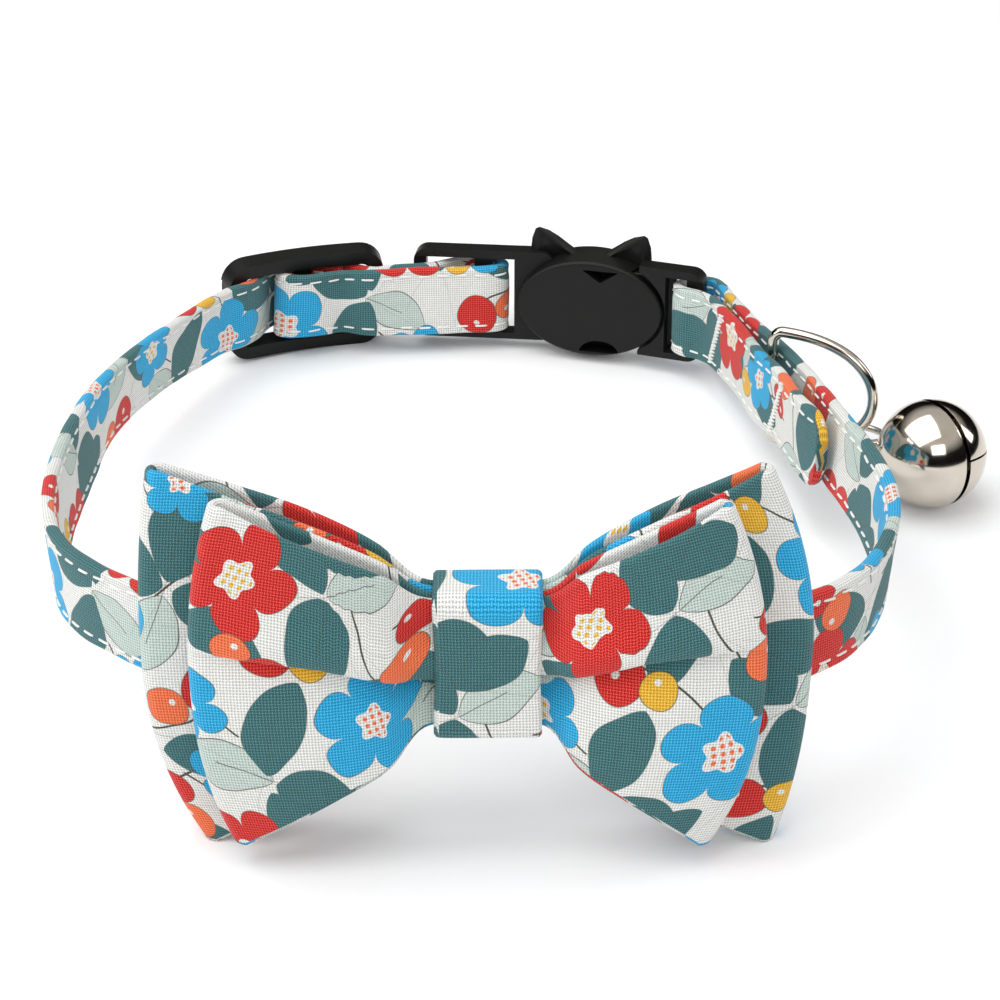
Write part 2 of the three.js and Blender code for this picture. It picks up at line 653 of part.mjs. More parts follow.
// At rest the lower corners of the bow and the lower rail of the slider stand on the surface.
const bowDrop = BOW.middle + BACK_LOBE[BACK_LOBE.length - 1].bottom;
const bowFoot = BOW.back - 4;
const sliderDrop = STRAP_MIDDLE
  - (SLIDER.halfHeight + SLIDER.railWidth / 2) * Math.cos(radians(SLIDER.lean))
  - (SLIDER.railDepth / 2) * Math.sin(radians(SLIDER.lean));
const lean = Math.atan((sliderDrop - bowDrop) / (SLIDER.y - bowFoot));
const surfaceAt = (y) => bowDrop + (y - bowFoot) * Math.tan(lean);

// The bell lies on the surface, and its eyelet holds the far side of the ring.
const bellPiece = piece('bell', bell(), NICKEL);
const bellPlace = { x: 58.5, y: 4.6 };
bellPiece.position.set(bellPlace.x, bellPlace.y, surfaceAt(bellPlace.y) + BELL.diameter / 2 / Math.cos(lean));
bellPiece.rotation.z = radians(BELL.axisTurn);
neckLoop.add(bellPiece);

neckLoop.rotation.x = -lean;
const collar = new THREE.Group();
collar.add(neckLoop);
collar.updateMatrixWorld(true);
const extent = new THREE.Box3().setFromObject(collar, true);
const footprint = extent.getCenter(new THREE.Vector3());
neckLoop.position.set(-footprint.x, -footprint.y, -extent.min.z);

export default collar;
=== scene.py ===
"""Pet collar in printed cotton with a double bow tie, put together piece by piece.

Every size is in millimetres in the frame of the neck loop: x to the wearer's left, y to the back of the
neck, z along the strap's width. LOOP takes such a point to its place in metres.
"""

import math

import bpy
import numpy as np
from mathutils import Matrix, Vector


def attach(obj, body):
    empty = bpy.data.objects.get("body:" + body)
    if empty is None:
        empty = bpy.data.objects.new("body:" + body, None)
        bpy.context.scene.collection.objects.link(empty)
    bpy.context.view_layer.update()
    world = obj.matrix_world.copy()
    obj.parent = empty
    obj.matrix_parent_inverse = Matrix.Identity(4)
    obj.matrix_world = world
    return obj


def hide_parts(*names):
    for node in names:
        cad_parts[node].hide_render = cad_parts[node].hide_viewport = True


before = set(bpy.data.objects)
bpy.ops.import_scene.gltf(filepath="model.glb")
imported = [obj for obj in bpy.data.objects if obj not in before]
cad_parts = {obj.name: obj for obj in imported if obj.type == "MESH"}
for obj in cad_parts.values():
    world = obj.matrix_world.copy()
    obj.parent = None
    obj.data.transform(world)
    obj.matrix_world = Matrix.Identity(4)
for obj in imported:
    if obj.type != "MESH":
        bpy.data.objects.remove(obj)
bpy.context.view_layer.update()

# ---------------------------------------------------------------- the surface, the light and the camera
# The collar lies on a plain white surface and leans back a little, on the bow's lower corners in front and
# the slider behind. A large soft panel hangs over it, with weaker ones in front and at the sides.

MM = 0.001
LEAN = math.radians(5.6365)
LOOP = (
    Matrix.Translation(Vector((-8.5084, 7.6294, 7.3848)) * MM)
    @ Matrix.Rotation(-LEAN, 4, "X")
    @ Matrix.Scale(MM, 4)
)


def linear(hex_colour):
    """Linear colour of an sRGB hex value."""
    parts = [int(hex_colour[i : i + 2], 16) / 255 for i in (1, 3, 5)]
    return [p / 12.92 if p <= 0.04045 else ((p + 0.055) / 1.055) ** 2.4 for p in parts] + [1.0]


def add(tree, kind, *inputs, **settings):
    """Adds one node. inputs go to its sockets in order, and settings name an attribute or a socket."""
    node = tree.nodes.new(kind)
    named = {}
    for name, value in settings.items():
        if hasattr(node, name):
            setattr(node, name, value)
        else:
            named[name.replace("_", " ")] = value
    for name, value in [*enumerate(inputs), *named.items()]:
        if value is None:
            continue
        if isinstance(value, bpy.types.Node):
            value = value.outputs[0]
        if isinstance(value, bpy.types.NodeSocket):
            tree.links.new(node.inputs[name], value)
        else:
            node.inputs[name].default_value = value
    return node


# A colour mix takes its factor at its first socket and its two colours after five that are not for colours.
TO_COLOURS = (None,) * 5


def new_material(name):
    """An empty node material and its tree."""
    material = bpy.data.materials.new(name)
    material.use_nodes = True
    material.node_tree.nodes.clear()
    return material, material.node_tree


def select_only(piece):
    bpy.ops.object.select_all(action="DESELECT")
    piece.select_set(True)
    bpy.context.view_layer.objects.active = piece


bpy.ops.object.select_all(action="DESELECT")
bpy.ops.mesh.primitive_plane_add(size=6, location=(0, 0, 0))
surface = bpy.context.active_object
surface.name = "surface"
# Matt white paper: light spreads evenly off it, and the faint mottling of its fibres keeps it from glaring.
paper, tree = new_material("matt_white_paper")
fibres = add(tree, "ShaderNodeTexNoise", add(tree, "ShaderNodeTexCoord").outputs["Object"], Scale=900.0,
             Detail=2.0)
tone = add(tree, "ShaderNodeMix", fibres, *TO_COLOURS, linear("#FAFAFA"), linear("#FDFDFD"), data_type="RGBA")
shader = add(tree, "ShaderNodeBsdfPrincipled", tone.outputs[2], Roughness=0.9)
add(tree, "ShaderNodeOutputMaterial", shader)
surface.data.materials.append(paper)

# name: place in metres, width, height, power in watts
PANELS = {
    "overhead_panel": ((-0.16, -0.04, 0.50), 0.62, 0.55, 2.3),
    "front_panel": ((0.10, -0.55, 0.42), 0.34, 0.24, 0.8),
    "left_panel": ((-0.55, -0.16, 0.26), 0.20, 0.34, 0.9),
    "right_panel": ((0.55, 0.10, 0.30), 0.16, 0.30, 0.5),
}
for name, (place, width, height, power) in PANELS.items():
    bpy.ops.object.light_add(type="AREA", location=place)
    panel = bpy.context.active_object
    panel.name = name
    panel.data.shape = "RECTANGLE"
    panel.data.size = width
    panel.data.size_y = height
    panel.data.energy = power
    panel.rotation_euler = (Vector((0, 0, 0.01)) - Vector(place)).to_track_quat("-Z", "Y").to_euler()

# The room is evenly white to the eye and to matt things. Polished things see its dark walls instead.
world = bpy.data.worlds.new("studio")
bpy.context.scene.world = world
world.use_nodes = True
world.node_tree.nodes.clear()
white_room = add(world.node_tree, "ShaderNodeBackground", Color=linear("#F8FAFC"), Strength=0.50)
height_seen = add(world.node_tree, "ShaderNodeSeparateXYZ",
                  add(world.node_tree, "ShaderNodeTexCoord").outputs["Generated"])
wall_tone = add(world.node_tree, "ShaderNodeValToRGB", height_seen.outputs["Z"])
wall_tone.color_ramp.elements[0].position, wall_tone.color_ramp.elements[0].color = 0.0, linear("#3E3B38")
wall_tone.color_ramp.elements[1].position, wall_tone.color_ramp.elements[1].color = 0.72, linear("#DAD8D4")
for height, tone_there in ((0.08, "#0C0B0B"), (0.44, "#1A1918")):
    wall_tone.color_ramp.elements.new(height).color = linear(tone_there)
dark_room = add(world.node_tree, "ShaderNodeBackground", wall_tone, Strength=0.9)
seen_by_gloss = add(world.node_tree, "ShaderNodeLightPath").outputs["Is Glossy Ray"]
room = add(world.node_tree, "ShaderNodeMixShader", seen_by_gloss, white_room, dark_room)
add(world.node_tree, "ShaderNodeOutputWorld", room)
bpy.context.scene.view_settings.view_transform = "Standard"

# The camera looks down at the front of the loop, 26 degrees above its plane.
LOOK_AT = LOOP @ Vector((4.0, -8.5, 0.0))
HEIGHT_ANGLE = math.radians(26) + LEAN
DISTANCE = 0.279
bpy.ops.object.camera_add()
camera = bpy.context.active_object
camera.name = "camera"
camera.data.lens = 82.8
camera.data.sensor_width = 36
camera.location = LOOK_AT + DISTANCE * Vector((0, -math.cos(HEIGHT_ANGLE), math.sin(HEIGHT_ANGLE)))
camera.rotation_euler = (math.pi / 2 - HEIGHT_ANGLE, 0, 0)
camera.data.clip_start = 0.01
bpy.context.scene.camera = camera

# ---------------------------------------------------------------- printed cotton
# The strap and the bows are one cloth: plain-weave cotton, printed with leaves, five-petalled flowers and
# berries on white. The repeat is charted below, and flows with each piece's own map, in millimetres.

REPEAT = (38.0, 33.0)
THREAD = 0.32
INK = {
    "white": "#E9E8E3", "teal": "#346B6E", "blue": "#14A8DC", "red": "#D41A0C", "orange": "#F4703C",
    "yellow": "#EDB729", "sage": "#C6D4CC", "line": "#4C4736",
}
# place x, y, turn in degrees, length, width, ink
LEAVES = [
    (17.8, 14.6, 245, 9.6, 6.4, "sage"), (36.6, 4.0, 160, 9.0, 5.6, "sage"), (3.6, 27.8, 28, 9.4, 5.8,
                                                                              "sage"),
    (26.4, 21.6, 75, 7.6, 4.6, "sage"),
    (18.5, 16.0, 62, 12.0, 7.6, "teal"), (18.0, 15.5, 152, 10.4, 6.8, "teal"),
    (19.0, 15.0, -38, 11.0, 7.0, "teal"), (36.0, 4.5, 72, 11.0, 6.6, "teal"),
    (36.8, 3.6, -26, 10.6, 7.0, "teal"), (3.2, 27.4, -96, 10.4, 6.6, "teal"),
    (3.0, 28.0, 122, 9.0, 5.6, "teal"), (27.0, 21.0, -8, 8.8, 5.4, "teal"),
    (14.2, 29.2, -14, 8.6, 5.4, "teal"), (27.2, 31.2, -62, 8.0, 5.2, "teal"), (10.4, 3.2, -150, 7.6, 4.8,
                                                                               "teal"),
]
# place x, y, turn in degrees, radius, ink, ink of the dots
FLOWERS = [
    (9.4, 10.4, 20, 6.4, "blue", "orange"), (32.4, 27.2, -10, 6.2, "red", "yellow"),
    (27.6, 11.6, 50, 5.0, "blue", "yellow"), (20.6, 26.2, 5, 4.4, "blue", "orange"),
]
# place x, y, turn in degrees, radius, ink
BERRIES = [
    (20.6, 3.6, 30, 2.7, "red"), (16.2, 1.6, -20, 2.2, "orange"), (12.6, 20.8, 10, 2.4, "orange"),
    (36.4, 17.4, 80, 2.5, "red"), (25.0, 29.6, -40, 1.9, "yellow"), (32.8, 19.6, 0, 1.9, "orange"),
    (2.4, 17.2, 40, 2.0, "yellow"), (13.4, 25.0, 70, 1.9, "red"),
]
# place x, y of the middle of the arc, turn to its middle, radius, half its span in degrees
STEMS = [
    (27.0, 2.0, 128, 16.0, 26), (4.0, 14.0, 28, 17.0, 20), (20.0, 30.0, 200, 14.0, 24),
    (40.0, 20.0, 215, 13.0, 26), (12.0, 40.0, -70, 14.0, 24), (14.0, 8.0, -60, 9.0, 34), (30.0, 34.0, 250,
                                                                                          10.0, 36),
    (0.0, 10.0, 70, 9.0, 34),
]

# A drawn edge: 1 where Inside is over zero, nearly as sharp as ink on cloth.
INK_BLEED = 0.05
EDGE = bpy.data.node_groups.new("inked_edge", "ShaderNodeTree")
EDGE.interface.new_socket("Inside", in_out="INPUT", socket_type="NodeSocketFloat")
EDGE.interface.new_socket("Softness", in_out="INPUT", socket_type="NodeSocketFloat")
EDGE.interface.new_socket("Mask", in_out="OUTPUT", socket_type="NodeSocketFloat")
given = EDGE.nodes.new("NodeGroupInput").outputs
scaled = add(EDGE, "ShaderNodeMath", given["Inside"], given["Softness"], operation="DIVIDE")
add(EDGE, "NodeGroupOutput", add(EDGE, "ShaderNodeMath", scaled, 0.5, operation="ADD", use_clamp=True))


def motif_group(name, *sizes):
    """A node group for one kind of motif, which it lays over the colour that comes in."""
    group = bpy.data.node_groups.new(name, "ShaderNodeTree")
    kinds = {"Under": "Color", "Position": "Vector", "Place": "Vector", "Ink": "Color",
             "Ink of dots": "Color"}
    for socket in ("Under", "Position", "Place", "Turn", *sizes):
        group.interface.new_socket(socket, in_out="INPUT",
                                   socket_type="NodeSocket" + kinds.get(socket, "Float"))
    group.interface.new_socket("Over", in_out="OUTPUT", socket_type="NodeSocketColor")
    given = group.nodes.new("NodeGroupInput").outputs
    # The place wraps round the repeat, so a motif at its border goes on at the other side.
    half = (REPEAT[0] / 2, REPEAT[1] / 2, 10)
    away = add(group, "ShaderNodeVectorMath", given["Position"], given["Place"], operation="SUBTRACT")
    wrapped = add(group, "ShaderNodeVectorMath", away, half, [-value for value in half], operation="WRAP")
    back = add(group, "ShaderNodeMath", given["Turn"], -1.0, operation="MULTIPLY")
    local = add(group, "ShaderNodeVectorRotate", wrapped, Angle=back, rotation_type="Z_AXIS").outputs[0]
    return group, given, local


def lay_ink(group, under, ink, inside, softness=INK_BLEED, strength=None):
    """Lays an ink over the colour under it, wherever inside is over zero."""
    mask = add(group, "ShaderNodeGroup", inside, softness, node_tree=EDGE)
    if strength is not None:
        mask = add(group, "ShaderNodeMath", mask, strength, operation="MULTIPLY")
    return add(group, "ShaderNodeMix", mask, *TO_COLOURS, under, ink, data_type="RGBA").outputs[2]


def outline(group, under, inside):
    """Draws the thin dark line round a shape, on both sides of its edge."""
    off_edge = add(group, "ShaderNodeMath", inside, operation="ABSOLUTE")
    rim = add(group, "ShaderNodeMath", off_edge, -1.0, 0.06, operation="MULTIPLY_ADD")
    return lay_ink(group, under, linear(INK["line"]), rim, strength=0.7)


# A leaf grows from its place: pointed at its foot, round at its end, with a midrib and a thin dark outline.
LEAF, given, local = motif_group("printed_leaf", "Length", "Width", "Vein", "Ink")
axes = add(LEAF, "ShaderNodeSeparateXYZ", local).outputs
share = add(LEAF, "ShaderNodeMath", axes["X"], given["Length"], operation="DIVIDE", use_clamp=True)
late = add(LEAF, "ShaderNodeMath", share, 0.94, operation="POWER")
round_share = add(LEAF, "ShaderNodeMath", late, math.pi, operation="MULTIPLY")
swell = add(LEAF, "ShaderNodeMath", add(LEAF, "ShaderNodeMath", round_share, operation="SINE"), 0.74,
            operation="POWER")
whole_width = add(LEAF, "ShaderNodeMath", swell, given["Width"], operation="MULTIPLY")
sway = add(LEAF, "ShaderNodeMath", add(LEAF, "ShaderNodeMath", share, math.pi, operation="MULTIPLY"),
           operation="SINE")
off_rib = add(LEAF, "ShaderNodeMath", sway, -0.5, axes["Y"], operation="MULTIPLY_ADD")
from_rib = add(LEAF, "ShaderNodeMath", off_rib, operation="ABSOLUTE")
reach_left = add(LEAF, "ShaderNodeMath", from_rib, 0.06, operation="ADD")
inside = add(LEAF, "ShaderNodeMath", add(LEAF, "ShaderNodeMath", whole_width, 0.5, operation="MULTIPLY"),
             reach_left, operation="SUBTRACT")
filled = lay_ink(LEAF, given["Under"], given["Ink"], inside)
rim = add(LEAF, "ShaderNodeMath", add(LEAF, "ShaderNodeMath", inside, operation="ABSOLUTE"), -1.0, 0.07,
          operation="MULTIPLY_ADD")
rim_line = add(LEAF, "ShaderNodeGroup", rim, INK_BLEED, node_tree=EDGE)
rib = add(LEAF, "ShaderNodeMath", from_rib, -1.0, 0.055, operation="MULTIPLY_ADD")
rib_line = add(LEAF, "ShaderNodeGroup", rib, INK_BLEED, node_tree=EDGE)
foot = add(LEAF, "ShaderNodeMath", add(LEAF, "ShaderNodeMath", 0.6, share, operation="SUBTRACT"), share,
           operation="MULTIPLY")
rib_long = add(LEAF, "ShaderNodeGroup", foot, 0.01, node_tree=EDGE)
rib_drawn = add(LEAF, "ShaderNodeMath", add(LEAF, "ShaderNodeMath", rib_line, rib_long,
                                            operation="MULTIPLY"), given["Vein"], operation="MULTIPLY")
rim_drawn = add(LEAF, "ShaderNodeMath", rim_line, given["Vein"], operation="MULTIPLY")
lines = add(LEAF, "ShaderNodeMath", rim_drawn, rib_drawn, operation="MAXIMUM")
lined = add(LEAF, "ShaderNodeMix", lines, *TO_COLOURS, filled, linear(INK["line"]), data_type="RGBA")
add(LEAF, "NodeGroupOutput", lined.outputs[2])

# A flower has five round petals, and a white heart with dots of a second ink.
FLOWER, given, local = motif_group("printed_flower", "Radius", "Ink", "Ink of dots")
axes = add(FLOWER, "ShaderNodeSeparateXYZ", local).outputs
reach = add(FLOWER, "ShaderNodeVectorMath", local, operation="LENGTH").outputs["Value"]
angle = add(FLOWER, "ShaderNodeMath", axes["Y"], axes["X"], operation="ARCTAN2")
petals = add(FLOWER, "ShaderNodeMath", add(FLOWER, "ShaderNodeMath", angle, 2.5, operation="MULTIPLY"),
             operation="COSINE")
round_petals = add(FLOWER, "ShaderNodeMath", add(FLOWER, "ShaderNodeMath", petals, operation="ABSOLUTE"),
                   0.5, operation="POWER")
rim_share = add(FLOWER, "ShaderNodeMath", round_petals, 0.44, 0.56, operation="MULTIPLY_ADD")
rim_reach = add(FLOWER, "ShaderNodeMath", rim_share, given["Radius"], operation="MULTIPLY")
inside = add(FLOWER, "ShaderNodeMath", rim_reach, reach, operation="SUBTRACT")
petals_inked = outline(FLOWER, lay_ink(FLOWER, given["Under"], given["Ink"], inside), inside)
points = add(FLOWER, "ShaderNodeMath", add(FLOWER, "ShaderNodeMath", angle, 5.0, operation="MULTIPLY"),
             operation="COSINE")
heart_share = add(FLOWER, "ShaderNodeMath", points, 0.05, 0.31, operation="MULTIPLY_ADD")
heart_reach = add(FLOWER, "ShaderNodeMath", heart_share, given["Radius"], operation="MULTIPLY")
in_heart = add(FLOWER, "ShaderNodeMath", heart_reach, reach, operation="SUBTRACT")
heart = lay_ink(FLOWER, petals_inked, linear(INK["white"]), in_heart)
dot_places = add(FLOWER, "ShaderNodeVectorMath", local, (0.48, 0.42, 10), (-0.48, -0.42, -10),
                 operation="WRAP")
dot_reach = add(FLOWER, "ShaderNodeVectorMath", dot_places, operation="LENGTH").outputs["Value"]
in_dot = add(FLOWER, "ShaderNodeMath", 0.27, dot_reach, operation="SUBTRACT")
dot = add(FLOWER, "ShaderNodeGroup", in_dot, 0.12, node_tree=EDGE)
well_in = add(FLOWER, "ShaderNodeGroup", add(FLOWER, "ShaderNodeMath", in_heart, 0.25,
                                             operation="SUBTRACT"), INK_BLEED, node_tree=EDGE)
dot_mask = add(FLOWER, "ShaderNodeMath", dot, well_in, operation="MULTIPLY")
dots = add(FLOWER, "ShaderNodeMix", dot_mask, *TO_COLOURS, heart, given["Ink of dots"], data_type="RGBA")
add(FLOWER, "NodeGroupOutput", dots.outputs[2])

# A berry is round, with a small white light on it.
BERRY, given, local = motif_group("printed_berry", "Radius", "Ink")
reach = add(BERRY, "ShaderNodeVectorMath", local, operation="LENGTH").outputs["Value"]
inside = add(BERRY, "ShaderNodeMath", given["Radius"], reach, operation="SUBTRACT")
berry_inked = outline(BERRY, lay_ink(BERRY, given["Under"], given["Ink"], inside), inside)
light_place = add(BERRY, "ShaderNodeVectorMath", local, (0.35, 0.8, 0), operation="SUBTRACT")
light_reach = add(BERRY, "ShaderNodeVectorMath", light_place, operation="LENGTH").outputs["Value"]
in_light = add(BERRY, "ShaderNodeMath", 0.36, light_reach, operation="SUBTRACT")
add(BERRY, "NodeGroupOutput", lay_ink(BERRY, berry_inked, linear(INK["white"]), in_light, softness=0.1))

# A stem is a thin dark arc.
STEM, given, local = motif_group("printed_stem", "Radius", "Span")
axes = add(STEM, "ShaderNodeSeparateXYZ", local).outputs
reach = add(STEM, "ShaderNodeVectorMath", local, operation="LENGTH").outputs["Value"]
off_arc = add(STEM, "ShaderNodeMath", add(STEM, "ShaderNodeMath", reach, given["Radius"],
                                          operation="SUBTRACT"), operation="ABSOLUTE")
in_line = add(STEM, "ShaderNodeMath", 0.12, off_arc, operation="SUBTRACT")
arc = add(STEM, "ShaderNodeGroup", in_line, INK_BLEED, node_tree=EDGE)
turn = add(STEM, "ShaderNodeMath", add(STEM, "ShaderNodeMath", axes["Y"], axes["X"], operation="ARCTAN2"),
           operation="ABSOLUTE")
span = add(STEM, "ShaderNodeGroup", add(STEM, "ShaderNodeMath", given["Span"], turn, operation="SUBTRACT"),
           0.02, node_tree=EDGE)
stem_mask = add(STEM, "ShaderNodeMath", arc, span, operation="MULTIPLY")
drawn = add(STEM, "ShaderNodeMix", stem_mask, *TO_COLOURS, given["Under"], linear(INK["line"]),
            data_type="RGBA")
add(STEM, "NodeGroupOutput", drawn.outputs[2])

# Plain weave: warp and weft pass over and under each other, so each crossing shows one short length of
# thread, rounded across, with pinholes at its corners. Real threads are 0.2 mm apart. These are drawn
# coarser, so that they show.
WEAVE = bpy.data.node_groups.new("plain_weave", "ShaderNodeTree")
WEAVE.interface.new_socket("Position", in_out="INPUT", socket_type="NodeSocketVector")
WEAVE.interface.new_socket("Height", in_out="OUTPUT", socket_type="NodeSocketFloat")
WEAVE.interface.new_socket("Slub", in_out="OUTPUT", socket_type="NodeSocketFloat")
given = WEAVE.nodes.new("NodeGroupInput").outputs
uneven = add(WEAVE, "ShaderNodeTexNoise", given["Position"], Scale=1.1, Detail=3.0)
sway = add(WEAVE, "ShaderNodeVectorMath", uneven.outputs["Color"], (0.14, 0.14, 0), given["Position"],
           operation="MULTIPLY_ADD")
turns = add(WEAVE, "ShaderNodeVectorMath", sway, operation="SCALE", Scale=math.pi / THREAD)
crossing = add(WEAVE, "ShaderNodeVectorMath", turns, operation="SINE")
sines = add(WEAVE, "ShaderNodeSeparateXYZ", crossing).outputs
profiles = add(WEAVE, "ShaderNodeSeparateXYZ", add(WEAVE, "ShaderNodeVectorMath", crossing, crossing,
                                                   operation="MULTIPLY")).outputs
over = add(WEAVE, "ShaderNodeMath", add(WEAVE, "ShaderNodeMath", sines["X"], sines["Y"],
                                        operation="MULTIPLY"), 0.0, operation="GREATER_THAN")
thread_round = add(WEAVE, "ShaderNodeMix", over, None, profiles["X"], profiles["Y"], data_type="FLOAT")
ends = add(WEAVE, "ShaderNodeMath", profiles["X"], profiles["Y"], operation="MAXIMUM")
height = add(WEAVE, "ShaderNodeMath", thread_round, ends, operation="ADD")
add(WEAVE, "NodeGroupOutput", add(WEAVE, "ShaderNodeMath", height, 0.5, operation="MULTIPLY"),
    uneven.outputs[0])


def printed_cotton(name, shift, turn):
    """Printed plain-weave cotton: matt, slightly fuzzy, the print shifted and turned on the piece's map."""
    material, tree = new_material(name)
    cloth_map = add(tree, "ShaderNodeUVMap", uv_map="cloth_mm")
    laid_at = add(tree, "ShaderNodeMapping", cloth_map, (shift[0], shift[1], 0), (0, 0, math.radians(turn)))
    # The hand of the drawing: outlines wander by up to half a millimetre.
    wander = add(tree, "ShaderNodeTexNoise", laid_at, Scale=0.15, Detail=0.6).outputs["Color"]
    centred = add(tree, "ShaderNodeVectorMath", wander, (0.5, 0.5, 0.5), operation="SUBTRACT")
    position = add(tree, "ShaderNodeVectorMath", centred, (2.2, 2.2, 0), laid_at, operation="MULTIPLY_ADD")
    colour = add(tree, "ShaderNodeRGB")
    colour.outputs[0].default_value = linear(INK["white"])
    for x, y, turned_by, radius, span in STEMS:
        colour = add(tree, "ShaderNodeGroup", colour, position, (x, y, 0), math.radians(turned_by), radius,
                     math.radians(span), node_tree=STEM)
    for x, y, turned_by, length, width, ink in LEAVES:
        vein = 0.85 if ink == "sage" else 0.35
        colour = add(tree, "ShaderNodeGroup", colour, position, (x, y, 0), math.radians(turned_by), length,
                     width,
                     vein, linear(INK[ink]), node_tree=LEAF)
    for x, y, turned_by, radius, ink, dots in FLOWERS:
        colour = add(tree, "ShaderNodeGroup", colour, position, (x, y, 0), math.radians(turned_by), radius,
                     linear(INK[ink]), linear(INK[dots]), node_tree=FLOWER)
    for x, y, turned_by, radius, ink in BERRIES:
        colour = add(tree, "ShaderNodeGroup", colour, position, (x, y, 0), math.radians(turned_by), radius,
                     linear(INK[ink]), node_tree=BERRY)
    weave = add(tree, "ShaderNodeGroup", cloth_map, node_tree=WEAVE)
    # Painted shade of the weave: the colour darkens in the hollows between threads and lightens on their
    # crowns.
    shade = add(tree, "ShaderNodeMapRange", weave.outputs["Height"], To_Min=0.48, To_Max=1.14)
    slub = add(tree, "ShaderNodeMapRange", weave.outputs["Slub"], To_Min=0.93, To_Max=1.07)
    both = add(tree, "ShaderNodeMath", shade, slub, operation="MULTIPLY")
    # The crowns of the threads are painted lighter, unevenly: a painted highlight where they catch the light.
    crown_highlight_mask = add(tree, "ShaderNodeMapRange", weave.outputs["Height"], From_Min=0.62, From_Max=1.0,
                 To_Max=0.10)
    painted_crown_highlight = add(tree, "ShaderNodeMath", crown_highlight_mask, slub, operation="MULTIPLY")
    crown_lit_colour = add(tree, "ShaderNodeMix", painted_crown_highlight, *TO_COLOURS, colour, linear("#DDE6E6"), data_type="RGBA")
    woven = add(tree, "ShaderNodeVectorMath", crown_lit_colour.outputs[2], operation="SCALE", Scale=both)
    bump = add(tree, "ShaderNodeBump", Height=weave.outputs["Height"], Strength=0.8, Distance=0.00007)
    shader = add(tree, "ShaderNodeBsdfPrincipled", woven, Normal=bump, Roughness=0.9, Sheen_Weight=0.12,
                 Sheen_Roughness=0.5, Specular_IOR_Level=0.2)
    add(tree, "ShaderNodeOutputMaterial", shader)
    return material


def face_outwards(piece):
    """Turns every face of a closed piece outwards."""
    select_only(piece)
    bpy.ops.object.mode_set(mode="EDIT")
    bpy.ops.mesh.select_all(action="SELECT")
    bpy.ops.mesh.normals_make_consistent(inside=False)
    bpy.ops.object.mode_set(mode="OBJECT")


def cloth_grid(name, points, cloth_map, close_rings, material, place=LOOP):
    """A mesh through rings of points, each ring closed. cloth_map has one more column, and row if closed."""
    rings, around = points.shape[:2]
    spans = rings if close_rings else rings - 1
    i, j = np.meshgrid(np.arange(spans), np.arange(around), indexing="ij")
    corners = [(i, j), (i + 1, j), (i + 1, j + 1), (i, j + 1)]
    faces = np.stack([(a % rings) * around + b % around for a, b in corners], axis=-1).reshape(-1, 4)
    uv = np.stack([cloth_map[a, b] for a, b in corners], axis=-2).reshape(-1, 2)
    ends = []
    if not close_rings:
        ends = [list(range(around))[::-1], [(rings - 1) * around + k for k in range(around)]]
        uv = np.concatenate([uv, cloth_map[0, :around][::-1], cloth_map[-1, :around]])
    mesh = bpy.data.meshes.new(name)
    mesh.from_pydata(points.reshape(-1, 3).tolist(), [], faces.tolist() + ends)
    layer = mesh.uv_layers.new(name="cloth_mm")
    layer.data.foreach_set("uv", uv.astype(np.float32).ravel())
    mesh.transform(place)
    piece = bpy.data.objects.new(name, mesh)
    bpy.context.collection.objects.link(piece)
    mesh.materials.append(material)
    face_outwards(piece)
    bpy.ops.object.shade_smooth()
    return piece


def ripple(seed, *coordinates):
    """Smooth wandering value between about -1 and 1 along one or two coordinates in millimetres."""
    draw = np.random.default_rng(seed)
    total = 0
    for _ in range(5):
        phase = draw.uniform(0, 2 * math.pi)
        for value in coordinates:
            phase = phase + value * draw.uniform(0.15, 0.6) * draw.choice((-1, 1))
        total = total + np.sin(phase) / 3
    return total


# ---------------------------------------------------------------- the strap
# A strip of the print folded in on itself to a 10 mm band, 1.5 mm thick, and topstitched near both edges.
# From its flap it turns round the buckle's plug, runs round the neck and over the slider, through the
# buckle's socket, and back to the slider's bar, where it is sewn.

STRAP_WIDTH = 10.0
STRAP_THICKNESS = 1.5
FLAP_END_RADIUS = 3.2
SLIDER_PLACE, SLIDER_TURN, SLIDER_LEAN = (-24.0, 46.3), 21.0, 9.2
SOCKET_PLACE, SOCKET_TURN = (0.0, 48.45), -6.3
PLUG_PLACE, PLUG_TURN = (30.5, 39.2), -22.0


def turned(place, degrees, lean, pairs):
    """Points given along and across a piece that is turned in plan, as rows x, y, lean."""
    c, s = math.cos(math.radians(degrees)), math.sin(math.radians(degrees))
    return [(place[0] + a * c - b * s, place[1] + a * s + b * c, lean) for a, b in pairs]


